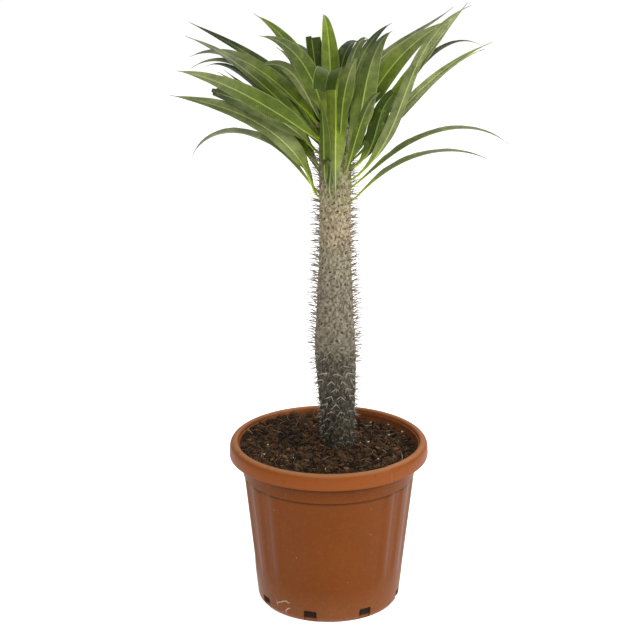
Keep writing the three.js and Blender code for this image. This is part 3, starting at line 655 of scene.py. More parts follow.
# Each kind of litter: its grain; how many lie on a square metre, their smallest and largest size,
# how far they tilt and lift, and a roughness; and two colours.
KINDS = [
    ("peat_crumb", lump("crumb", 1, (1, 0.85, 0.75), 0.9, 3),
     (24000, 0.5, 1.6, 3.1, 0.2, 0.95), ("#170d07", "#523b25")),
    ("peat_clod", lump("clod", 2, (1, 0.8, 0.62), 1.1, 5),
     (2500, 2.4, 6.0, 0.5, 0.2, 0.95), ("#150c06", "#5c4028")),
    ("bark_chip", lump("chip", 1, (2.9, 1.4, 0.55), 0.8, 8),
     (2600, 0.6, 2.1, 0.6, 0.8, 0.8), ("#24150b", "#805632")),
    ("peat_fibre", strand("fibre", 11, 0.24, 1.6, 5),
     (9500, 0.5, 1.7, 0.55, 0.9, 0.85), ("#46301c", "#a67c50")),
    ("dry_straw", strand("straw", 15, 0.36, 1.2, 5),
     (500, 0.6, 1.3, 0.5, 1.6, 0.7), ("#8a6f48", "#c4ad84")),
]
soil_pieces = [soil]
for label, grain, (number, least, most, tilt, lift, roughness), (dark, light) in KINDS:
    carrier = bpy.data.objects.new("carrier", soil.data.copy())
    scene.collection.objects.link(carrier)
    finish = litter_material(label, dark, light, roughness)
    settings = {"Grain": grain, "Per square metre": float(number), "Smallest": least, "Largest": most}
    settings.update({"Tilt": tilt, "Lift": lift * MM, "Seed": number % 97, "Finish": finish})
    soil_pieces.append(grown(label + "s", carrier, litter, settings))
    bpy.data.objects.remove(grain)
clods = strewn_clods()
draw = seeded_random(5)
points, faces = [], []
for x, y in PERLITE_PLACES:
    grain = lump("grain", 2, (1, 0.9, 0.75), 0.5, 10 * next(draw))
    size = 0.8 + 0.8 * next(draw)
    spot = (x, y, soil_top(x, y, clods)[0] + 0.7 * size)
    start = len(points)
    for vertex in grain.data.vertices:
        points.append([c / MM * size + middle for c, middle in zip(vertex.co, spot)])
    faces += [[start + i for i in face.vertices] for face in grain.data.polygons]
    bpy.data.objects.remove(grain)
perlite = new_piece("perlite_grains", points, faces, {"tone": [0.6] * len(points)})
perlite.data.materials.append(litter_material("expanded_perlite", "#9c927e", "#e6dfcc", 0.9))
smooth_faces(perlite, 50)
soil_pieces.append(perlite)
for piece in soil_pieces:
    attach(piece, "root")
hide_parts("soil")

# ---------------------------------------------------------------- stem
# The water-storing stem of the palm. Its corky grey bark is a spiral of low tubercles, which are
# pulled about a little, as the stem grows in spurts. Each has the scar of a fallen leaf on it.

STEM_SHIFT_AT_SOIL = 14
STEM_SHIFT_ABOVE = 8
STEM_LEAN_FROM = 215
STEM_LEAN_TO = 375
STEM_BEHIND = 4
STEM_RADII = [
    (120, 8), (150, 17.5), (190, 21.4), (245, 21.4), (300, 24.2), (354, 26.5), (400, 24.4), (450, 21.9),
    (504, 19.9), (560, 19.9), (640, 20), (662, 17.5), (674, 12), (681, 6),
]
STEM_AROUND = 200
TUBERCLES_AROUND = 12
TUBERCLE_PITCH = 11
TUBERCLE_FIRST = 232
TUBERCLE_ROWS = 40
TUBERCLE_HEIGHT = 1.7
TUBERCLE_TWIST = 0.0025


def stem_axis(height):
    """The stem's middle at a height."""
    share = min(max((height - STEM_LEAN_FROM) / (STEM_LEAN_TO - STEM_LEAN_FROM), 0), 1)
    shift = STEM_SHIFT_AT_SOIL + (STEM_SHIFT_ABOVE - STEM_SHIFT_AT_SOIL) * share
    return np.array([shift, STEM_BEHIND, height])


def stem_radius(height):
    """The bark's radius at a height, on a smooth curve through the given radii."""
    last = len(STEM_RADII) - 2
    k = max(i for i, (z, _) in enumerate(STEM_RADII) if z <= height or i == 0)
    k = min(k, last)
    (x0, y0), (x1, y1) = STEM_RADII[k], STEM_RADII[k + 1]
    before, after = STEM_RADII[max(k - 1, 0)], STEM_RADII[min(k + 2, last + 1)]
    slope0 = (y1 - before[1]) / (x1 - before[0])
    slope1 = (after[1] - y0) / (after[0] - x0)
    t = min(max((height - x0) / (x1 - x0), 0), 1)
    bend = t * (1 - t) * (x1 - x0) * ((1 - t) * slope0 - t * slope1)
    return y0 + (y1 - y0) * t * t * (3 - 2 * t) + bend


def stem_core():
    """The stem's middle line as a row of points, each with the radius of the bark there."""
    heights = [117, 120, 135, 150, 170, 185, 198, 206, *np.arange(211, 679, 1.35), 679, 680.2, 680.9, 681]
    girths = [0] + [stem_radius(z) for z in heights[1:-3]] + [5.2, 2.6, 0]
    girths[-4] = 7.4
    places = [stem_axis(z) for z in heights]
    return new_piece("stem_core", places, [], {"girth": np.array(girths) * MM})


def skin_round(tree, given, stored):
    """A grid to wrap round a core, its share and angle of the way round, and what the core is like there."""
    core = given["Geometry"]
    rings = add(tree, "GeometryNodeAttributeDomainSize", [core], component="MESH")
    columns = add(tree, "ShaderNodeMath", [given["Around"], 1], operation="ADD")
    skin = add(tree, "GeometryNodeMeshGrid", {"Vertices X": rings, "Vertices Y": columns})
    index = add(tree, "GeometryNodeInputIndex")
    along = add(tree, "ShaderNodeMath", [index, columns], operation="DIVIDE")
    ring = add(tree, "ShaderNodeMath", [along], operation="FLOOR")
    column = add(tree, "ShaderNodeMath", [index, columns], operation="MODULO")
    turn = add(tree, "ShaderNodeMath", [column, given["Around"]], operation="DIVIDE")
    angle = add(tree, "ShaderNodeMath", [turn, 2 * math.pi], operation="MULTIPLY")
    values = {"middle": add(tree, "GeometryNodeInputPosition")}
    kinds = {"middle": "FLOAT_VECTOR", **stored}
    for label, kind in stored.items():
        values[label] = add(tree, "GeometryNodeInputNamedAttribute", {"Name": label}, data_type=kind)
    at = {}
    for label, value in values.items():
        sample = {"Geometry": core, "Value": value, "Index": ring}
        at[label] = add(tree, "GeometryNodeSampleIndex", sample, data_type=kinds[label])
    return skin, turn, angle, at


def wrap_skin(tree, skin, position, values, gap, material, made):
    """Ends a tree with its grid moved round the core, with its values stored and its seam welded."""
    for label, value in values.items():
        kept = {"Geometry": skin, "Name": label, "Value": value}
        kind = "FLOAT_COLOR" if label == "green" else "FLOAT"
        skin = add(tree, "GeometryNodeStoreNamedAttribute", kept, data_type=kind)
    wrapped = add(tree, "GeometryNodeSetPosition", {"Geometry": skin, "Position": position})
    closed = add(tree, "GeometryNodeMergeByDistance", {"Geometry": wrapped, "Distance": gap})
    hand_over(tree, closed, material, made)


def bark_tree():
    """Geometry tree: wraps a skin round the core and raises a staggered lattice of tubercles on it."""
    tree, given, made = geometry_tree("tubercled bark", {
        "Around": ("Int", STEM_AROUND),
        "Tubercles around": ("Int", TUBERCLES_AROUND),
        "Pitch": ("Float", TUBERCLE_PITCH * MM),
        "First": ("Float", TUBERCLE_FIRST * MM),
        "Last": ("Float", (TUBERCLE_FIRST + (TUBERCLE_ROWS - 1) * TUBERCLE_PITCH) * MM),
        "Height": ("Float", TUBERCLE_HEIGHT * MM),
        "Twist per metre": ("Float", TUBERCLE_TWIST / MM),
    })
    skin, turn, angle, at = skin_round(tree, given, {"girth": "FLOAT"})
    middle = at["middle"]
    girth = at["girth"]
    height = add(tree, "ShaderNodeSeparateXYZ", [middle], out="Z")
    twist = given["Twist per metre"]
    azimuth = add(tree, "ShaderNodeMath", [height, twist, angle], operation="MULTIPLY_ADD")
    cosine = add(tree, "ShaderNodeMath", [azimuth], operation="COSINE")
    sine = add(tree, "ShaderNodeMath", [azimuth], operation="SINE")
    outward = add(tree, "ShaderNodeCombineXYZ", [cosine, sine])
    ahead = add(tree, "ShaderNodeVectorMath", [outward, 0.022], operation="SCALE")
    where = add(tree, "ShaderNodeVectorMath", [ahead, middle], operation="ADD")
    # Where this point is in the lattice: tubercles round the stem, and rows up it.
    drift = add(tree, "ShaderNodeTexNoise", {"Vector": where, "Scale": 42, "Detail": 1}, out="Color")
    pulls = add(tree, "ShaderNodeSeparateXYZ", [drift]).node.outputs
    strayed, shifted = [
        add(tree, "ShaderNodeMath", [pulls[way], 1.5, -0.75], operation="MULTIPLY_ADD")
        for way in ("X", "Y")
    ]
    columns = given["Tubercles around"]
    around = add(tree, "ShaderNodeMath", [turn, columns, strayed], operation="MULTIPLY_ADD")
    over_first = add(tree, "ShaderNodeMath", [height, given["First"]], operation="SUBTRACT")
    evenly = add(tree, "ShaderNodeMath", [over_first, given["Pitch"]], operation="DIVIDE")
    row = add(tree, "ShaderNodeMath", [evenly, shifted], operation="ADD")
    half_way = add(tree, "ShaderNodeMath", [around, 0.5], operation="ADD")
    next_row = add(tree, "ShaderNodeMath", [row, 1.0], operation="ADD")
    nearest, scar_mark = None, None
    for across_at, up_at in [(around, row), (half_way, next_row)]:
        across = add(tree, "ShaderNodeMath", [across_at, 0.5, -0.5], operation="WRAP")
        up = add(tree, "ShaderNodeMath", [up_at, 1.0, -1.0], operation="WRAP")
        wide = add(tree, "ShaderNodeMath", [across, 0.5], operation="DIVIDE")
        tall = add(tree, "ShaderNodeMath", [up, 0.78], operation="DIVIDE")
        flat = add(tree, "ShaderNodeCombineXYZ", [wide, tall])
        away = add(tree, "ShaderNodeVectorMath", [flat], operation="LENGTH")
        # The scar is a dot 2.4 mm across, a millimetre above the middle of the tubercle.
        scar_up = add(tree, "ShaderNodeMath", [up, 1.0, -0.1], operation="MULTIPLY_ADD")
        scar_flat = add(tree, "ShaderNodeCombineXYZ", [across, scar_up])
        scar_away = add(tree, "ShaderNodeVectorMath", [scar_flat], operation="LENGTH")
        if nearest is None:
            nearest, scar_mark = away, scar_away
        else:
            nearest = add(tree, "ShaderNodeMath", [nearest, away], operation="MINIMUM")
            scar_mark = add(tree, "ShaderNodeMath", [scar_mark, scar_away], operation="MINIMUM")
    begin = add(tree, "ShaderNodeMath", [given["First"], 0.015], operation="SUBTRACT")
    ending = add(tree, "ShaderNodeMath", [given["Last"], 0.012], operation="ADD")
    mound, scar, halo, rising, falling = [
        add(tree, "ShaderNodeMapRange", span, interpolation_type="SMOOTHSTEP")
        for span in [
            [nearest, 1.05, 0.0], [scar_mark, 0.2, 0.1], [scar_mark, 0.36, 0.2],
            [height, begin, given["First"]], [height, ending, given["Last"]],
        ]
    ]
    present = add(tree, "ShaderNodeMath", [rising, falling], operation="MULTIPLY")
    stature = add(tree, "ShaderNodeMath", [mound, present], operation="MULTIPLY")
    raised = add(tree, "ShaderNodeMath", [stature, given["Height"]], operation="MULTIPLY")
    dent = add(tree, "ShaderNodeMath", [scar, -0.5 * MM], operation="MULTIPLY")
    dented = add(tree, "ShaderNodeMath", [dent, present, raised], operation="MULTIPLY_ADD")
    solid = add(tree, "ShaderNodeMapRange", [girth, 0.0, 4 * MM])
    swell = add(tree, "ShaderNodeMath", [dented, solid, girth], operation="MULTIPLY_ADD")
    # Corky bark is uneven by a few tenths of a millimetre over 6 mm.
    cork = add(tree, "ShaderNodeTexNoise", {"Vector": where, "Scale": 150, "Detail": 3})
    uneven = add(tree, "ShaderNodeMath", [cork, 0.5], operation="SUBTRACT")
    uneven = add(tree, "ShaderNodeMath", [uneven, solid], operation="MULTIPLY")
    radius = add(tree, "ShaderNodeMath", [uneven, 1.1 * MM, swell], operation="MULTIPLY_ADD")
    spread = add(tree, "ShaderNodeVectorMath", [outward, radius], operation="SCALE")
    final = add(tree, "ShaderNodeVectorMath", [spread, middle], operation="ADD")
    values = {"mound": stature, "scar": scar, "halo": halo}
    wrap_skin(tree, skin, final, values, 0.01 * MM, bark_material(), made)
    return tree


def bark_material():
    """Living bark over green tissue: grey-beige cork above, dark and weathered near the soil."""
    material, tree, shader = new_material("corky_bark")
    place = add(tree, "ShaderNodeTexCoord", out="Object")
    height = add(tree, "ShaderNodeSeparateXYZ", [place], out="Z")
    patches = add(tree, "ShaderNodeTexNoise", {"Vector": place, "Scale": 45, "Detail": 4})
    shifted = add(tree, "ShaderNodeMath", [patches, 0.014, height], operation="MULTIPLY_ADD")
    share = add(tree, "ShaderNodeMapRange", [shifted, 0.217, 0.687])
    # Each year's growth has its own tone, from the soil (0) to the growing tip (1).
    years = tree.nodes.new("ShaderNodeValToRGB")
    stops = [
        (0.0, "#3a2b1c"), (0.08, "#332e1e"), (0.17, "#39352a"), (0.24, "#4d4839"), (0.305, "#514c3e"),
        (0.322, "#736c5e"), (0.4, "#7c7565"), (0.5, "#89826f"), (0.57, "#968f77"), (0.62, "#938970"),
        (0.66, "#b0a083"), (0.72, "#afa382"), (0.8, "#949068"), (0.9, "#6f7345"), (1.0, "#5f6d2e"),
    ]
    set_stops(years.color_ramp, stops)
    tree.links.new(share, years.inputs[0])
    # Painted shade darkens the grooves between the tubercles, and a painted highlight makes their tops pale,
    # less so low down.
    mound = add(tree, "ShaderNodeAttribute", out="Fac", attribute_name="mound")
    year = years.outputs[0]
    colour = lay_over(tree, year, "#96907e", mound, (0.4, 0.0), 0.7, "SMOOTHSTEP", "MULTIPLY")
    wear_and_highlight = add(tree, "ShaderNodeMapRange", [height, 0.33, 0.39, 0.06, 0.3])
    pale = add(tree, "ShaderNodeMix", [0.5, year, linear("#c9bda4")], data_type="RGBA")
    colour = lay_over(tree, colour, pale, mound, (0.35, 0.95), wear_and_highlight, "SMOOTHSTEP")
    # Cork cracks into plates 3 to 6 mm across: brown where it is split, pale where it is whole.
    upright = add(tree, "ShaderNodeMapping", {"Vector": place, "Scale": (1, 1, 0.6)})
    crazed = {"Vector": upright, "Scale": 150, "Detail": 5, "Roughness": 0.75}
    plates = add(tree, "ShaderNodeTexNoise", crazed)
    colour = lay_over(tree, colour, "#6e6048", plates, (0.47, 0.39), 0.55, blend="MULTIPLY")
    whole = add(tree, "ShaderNodeMapRange", [height, 0.33, 0.39, 0.2, 0.65])
    colour = lay_over(tree, colour, pale, plates, (0.54, 0.66), whole)
    # Lichen and algae tint the shaded foot green.
    algae = add(tree, "ShaderNodeTexNoise", {"Vector": place, "Scale": 80, "Detail": 4, "Roughness": 0.6})
    damp = add(tree, "ShaderNodeMapRange", [height, 0.37, 0.34, 0, 0.8])
    colour = lay_over(tree, colour, "#28281e", algae, (0.49, 0.57), damp)
    # Fine cork: pale and dark flecks about 1.5 mm across, drawn out up the stem.
    fine = {"Vector": upright, "Scale": 460, "Detail": 4, "Roughness": 0.6}
    flecks = add(tree, "ShaderNodeTexNoise", fine)
    colour = lay_over(tree, colour, pale, flecks, (0.54, 0.68), 0.5)
    colour = lay_over(tree, colour, "#7c6e58", flecks, (0.46, 0.34), 0.7, blend="MULTIPLY")
    # Leaf scars: a dark dot in a pale ring, plain on some tubercles and grown over on others.
    fresh = add(tree, "ShaderNodeMapRange", [patches, 0.4, 0.56, 0.25, 1.0])
    halo = add(tree, "ShaderNodeAttribute", out="Fac", attribute_name="halo")
    halo_part = add(tree, "ShaderNodeMath", [halo, fresh], operation="MULTIPLY")
    halo_most = add(tree, "ShaderNodeMapRange", [height, 0.34, 0.4, 0.08, 0.35])
    halo_soft = add(tree, "ShaderNodeMath", [halo_part, halo_most], operation="MULTIPLY")
    colour = add(tree, "ShaderNodeMix", [halo_soft, colour, pale], data_type="RGBA")
    scar = add(tree, "ShaderNodeAttribute", out="Fac", attribute_name="scar")
    scar_part = add(tree, "ShaderNodeMath", [scar, fresh], operation="MULTIPLY")
    colour = add(tree, "ShaderNodeMix", [scar_part, colour, linear("#2a1a10")], data_type="RGBA")
    heights = add(tree, "ShaderNodeMath", [plates, 1.5, flecks], operation="MULTIPLY_ADD")
    dress(tree, shader, colour, heights, 0.8, 0.6, {"Roughness": 0.72, "Specular IOR Level": 0.3})
    return material


stem = grown("spiny_stem", stem_core(), bark_tree(), {})
smooth_faces(stem, 180)
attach(stem, "root")
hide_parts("stem")

# ---------------------------------------------------------------- leaves
# Fifty strap-shaped leaves in a tuft round the growing tip. Each is folded along a pale midrib,
# hangs on a short narrow stalk from a tubercle, and ends in a thin dry thread.

LEAF_STATIONS = 60
LEAF_AROUND = 28
LEAF_FOLD = 22
LEAF_ROOT = 3
LEAF_STALK_WIDTH = 3.4
LEAF_TIP_WIDTH = 1.0
LEAF_STALK_LENGTH = 16
LEAF_COLLAR = 1.2
LEAF_COLLAR_LENGTH = 4
LEAF_STALK_CLIMB = 38
LEAF_NARROW_LENGTH = 75
LEAF_TEAR = 7
# A leaf that is torn off where it is still wide ends after this share of its outline.
TORN_WHERE_WIDE = {34: 0.66}
THREAD_STEP = 0.8
THREAD_WIDTH = 0.6
THREAD_LEAST_LEAF = 70
# The greens of the leaves, from old to young, with painted shade and painted light: darker greens for leaves
# in shade, lighter ones for lit leaves.
GREENS = {
    "slate": "#313a2a", "ivy": "#2f3f06", "shade": "#4b5a17", "sage": "#525a38",
    "moss": "#5f6f1c", "grass": "#62702e", "fern": "#6b7247", "dust": "#757863",
    "willow": "#818a55", "apple": "#7f9030", "celery": "#b1b882", "lime": "#a6bc3c",
}
# One line for each leaf: the way it faces and the height of its base; its length; how steeply it
# climbs at its base, its middle and its tip; how far it swings round by its tip; its width; its
# roll; the share of it that is left; and the greens of its stalk, its blade and its tip.
LEAVES = [
    # right
    (-6.7, 560.2, 209, 49.3, 23, -24, -9.4, 15.4, -31.2, 1, "apple", "sage", "dust"),
    (-1.7, 578.4, 232.2, 40, 24.9, -38.1, -4.4, 16.5, -36.1, 1, "apple", "sage", "dust"),
    (-23.5, 590.3, 285, 31, 70.5, 26.9, 15.5, 18.7, -59.8, 1, "apple", "fern", "fern"),
    (3.5, 601.2, 244.6, 52.5, 46.4, 23.1, -1.2, 15, 41.7, 1, "apple", "celery", "willow"),
    (23.8, 610.7, 239.2, 31.3, 40.6, 11.1, 2.6, 17.6, 42.4, 1, "apple", "celery", "celery"),
    (-8.3, 621.8, 247.8, 52.2, 55.5, 51.8, 2.1, 25.6, 41.6, 1, "moss", "apple", "celery"),
    (40.5, 607.3, 295.7, 32.8, 38.8, -26.7, 2.1, 15.1, 11.8, 1, "lime", "slate", "slate"),
    (17.9, 647.7, 207, 65.7, 48.4, 15.6, 4.6, 29.6, 59.4, 1, "apple", "moss", "fern"),
    (34.3, 667.4, 215.3, 88.4, 31.5, 34.5, -8.3, 14.2, 14.8, 1, "shade", "willow", "dust"),
    (-47, 625.2, 201.9, 52.9, 74.7, 26, -11.1, 31.7, -53.6, 1, "apple", "grass", "sage"),
    (-75.1, 651.9, 151.3, 86.2, 56.9, 26.1, -1.5, 22.7, -31.8, 1, "moss", "shade", "fern"),
    (49.5, 675.9, 129.6, 73.3, 63.3, -19.7, 19, 15, 45.7, 1, "moss", "sage", "sage"),
    (79.3, 654.1, 156.7, 47.4, 50.5, 1.8, -22.4, 23.7, 1.1, 1, "moss", "sage", "slate"),
    (55.7, 647.5, 170.5, 89, 61, 17, -14.2, 19.2, 61.8, 1, "moss", "grass", "slate"),
    (82, 668, 144.6, 82.7, 53.4, -30.5, -22, 25.8, 1.2, 1, "moss", "ivy", "slate"),
    (-57.6, 602.4, 174.5, 57.6, 56.3, 13.9, -17, 18.1, -53.2, 1, "moss", "shade", "sage"),
    (-27.3, 609.5, 164.6, 10.8, 73.4, -25.6, -5.2, 25.1, -59.7, 0.8, "apple", "ivy", "ivy"),
    # left
    (172.1, 570.3, 211.9, 51.8, 24.5, -63.7, -3, 17.8, 46.1, 1, "apple", "sage", "dust"),
    (191.4, 565.6, 252.2, 81, 34.8, 12.5, 2.8, 30.9, -53, 1, "lime", "willow", "fern"),
    (191.8, 624.3, 200.9, 52.5, 28.1, 14.2, -5.6, 29.8, -59.2, 0.85, "apple", "willow", "slate"),
    (214.4, 641.4, 272.5, 34, 29.2, 14.1, 18.3, 27.9, 59.3, 1, "moss", "shade", "fern"),
    (167.9, 658.5, 219.3, 43.5, 29.2, -24.7, -21.1, 25.1, -27.5, 1, "lime", "moss", "dust"),
    (207.8, 666.7, 146, 47.2, 52.3, -38, 3.4, 21.2, 52.9, 1, "ivy", "willow", "sage"),
    (186.2, 644.4, 217, 42.7, 42.5, 21.9, 1.3, 18.7, -52.4, 1, "lime", "shade", "dust"),
    (148.6, 665.8, 235.5, 46.2, 26.1, 18.6, 1.6, 14.8, -50.3, 1, "moss", "sage", "slate"),
    (156.5, 642.2, 217.3, 38, 34, -32.9, 3, 16.1, -33.9, 1, "ivy", "willow", "dust"),
    (145.5, 640.1, 240.2, 17.9, 26.4, -21.6, -19.2, 14.7, -26, 1, "moss", "slate", "slate"),
    (159.1, 632.7, 161.7, 39.9, 31.4, 35.6, -0.7, 15.2, -15.2, 1, "apple", "shade", "sage"),
    (177, 623.6, 167, 43.5, 38.5, 29.9, -13, 23.1, -55, 1, "apple", "shade", "sage"),
    (148.1, 600.6, 199.7, 36, 39.4, -1.6, -0.5, 26, 1.8, 1, "lime", "moss", "moss"),
    (162.3, 674.6, 161, 67.5, 57.3, 25.4, -3.3, 23.8, -52.8, 1, "lime", "grass", "grass"),
    (238.2, 665.8, 186.2, 65.6, 52.6, 11.2, -20.3, 27.8, 54.5, 1, "apple", "shade", "sage"),
    (208.5, 674.8, 118.9, 53.1, 59.3, 36.5, -8.3, 16.7, 39.8, 1, "apple", "grass", "fern"),
    # front
    (270, 579, 272, 66, 72, -165, -16, 36, 0, 0.86, "fern", "apple", "ivy"),
    (240.5, 587, 120, 78.5, 87.3, 71, -2.1, 20, -0.7, 1, "sage", "shade", "shade"),
    (253, 573, 76, 68, 88, -90, -12, 14, 0, 1, "fern", "sage", "slate"),
    # middle
    (103.9, 674.2, 152.6, 67.5, 72.5, -4.3, -6.7, 25.5, -2.5, 1, "moss", "moss", "apple"),
    (131.2, 667.6, 195.4, 65.9, 78.5, 64.6, 1.8, 26.9, -11.2, 0.59, "shade", "ivy", "ivy"),
    # back
    (69.9, 596, 224.7, 44.9, 41.8, 8, 0, 24, -0.2, 1, "moss", "shade", "sage"),
    (92, 582, 210, 42, 32, -20, 0, 22, 0, 1, "moss", "shade", "sage"),
    (113.4, 603.2, 222.8, 45.6, 44.6, 1.5, -1, 24.7, -5.8, 1, "moss", "shade", "shade"),
    (133.2, 584.7, 213.4, 43.2, 34.5, -28.9, -0.2, 23.9, -12, 1, "apple", "ivy", "ivy"),
    (64.1, 630.1, 191.7, 48.5, 35.7, -4, 0.3, 26, 0.2, 1, "moss", "shade", "sage"),
    (86, 638, 190, 48, 32, -8, 0, 26, 0, 1, "moss", "shade", "sage"),
    (108.3, 646.2, 191.7, 50.4, 34.2, -4.1, -1, 25.8, -0.8, 1, "moss", "shade", "sage"),
    (127.6, 628.6, 188.1, 42.4, 31.2, -7.3, 2.8, 22.9, -0.2, 1, "shade", "lime", "lime"),
    # heart
    (300, 678, 62, 80, 82, 70, 0, 9, 0, 1, "apple", "apple", "apple"),
    (20, 679, 48, 84, 86, 80, 0, 8, 0, 1, "apple", "apple", "apple"),
    (70, 679, 56, 84, 84, 70, 0, 9, 0, 1, "apple", "apple", "apple"),
    (220, 679, 52, 84, 86, 76, 0, 8, 0, 1, "apple", "apple", "apple"),
]


def midrib(leaf, draw, taper):
    """A leaf's middle line: the place, side and upward way, half width, bulk and share of each station."""
    facing, base, length, climb0, climb1, climb2, turn, width, roll, share_left = leaf[:10]
    start = max(stem_radius(base) - LEAF_ROOT, 0)
    heading = math.radians(facing)
    place = stem_axis(base) + start * np.array([math.cos(heading), math.sin(heading), 0])
    rows = []
    ahead = None
    for i in range(round(LEAF_STATIONS * share_left) + 1):
        s = i / LEAF_STATIONS
        out = min(s * length / LEAF_STALK_LENGTH, 1)
        climbed = climb0 * (2 * s - 1) * (s - 1) + climb1 * 4 * s * (1 - s) + climb2 * s * (2 * s - 1)
        stalk = min(LEAF_STALK_CLIMB, climbed)
        climb = math.radians(stalk + (climbed - stalk) * out * out)
        heading = math.radians(facing + turn * s)
        flat = np.array([math.cos(heading), math.sin(heading), 0])
        level = np.array([-flat[1], flat[0], 0])
        ahead = flat * math.cos(climb) + np.array([0, 0, math.sin(climb)])
        above = -flat * math.sin(climb) + np.array([0, 0, math.cos(climb)])
        rolled = math.radians(roll) * min(3 * s, 1)
        side = level * math.cos(rolled) + above * math.sin(rolled)
        up = above * math.cos(rolled) - level * math.sin(rolled)
        narrowest = (LEAF_STALK_WIDTH + (LEAF_TIP_WIDTH - LEAF_STALK_WIDTH) * s) / 2
        full = width / 2 * math.sin(math.pi * (taper * s) ** 0.75) ** 0.9 if 0 < s < 1 else 0
        slim = 0.3 + 0.7 * float(eased(s * length / LEAF_NARROW_LENGTH))
        collar = LEAF_COLLAR * math.exp(-(max(s * length - LEAF_ROOT, 0) / LEAF_COLLAR_LENGTH) ** 2)
        rows.append((place.copy(), side, up, max(narrowest, full * slim) + collar, 1, s))
        place = place + ahead * length / LEAF_STATIONS
    if share_left == 1 and length > THREAD_LEAST_LEAF:
        # The thread goes on from the tip and curls away.
        curl = math.radians(2 + 9 * next(draw)) * (1 if next(draw) > 0.5 else -1)
        twist = 2 * math.pi * next(draw)
        for i in range(3 + int(5 * next(draw))):
            bend = math.cos(twist) * side + math.sin(twist) * up
            ahead = ahead + curl * bend
            ahead = ahead / np.linalg.norm(ahead)
            side = side - ahead * np.dot(side, ahead)
            side = side / np.linalg.norm(side)
            up = np.cross(ahead, side)
            rows.append((place.copy(), side, up, THREAD_WIDTH / 2, 1, 1.001 + 0.01 * i))
            place = place + ahead * THREAD_STEP
    first, last = rows[0], rows[-1]
    rows = [first[:4] + (0, first[5])] + rows + [last[:4] + (0, last[5])]
    return [np.array(column) for column in zip(*rows)]


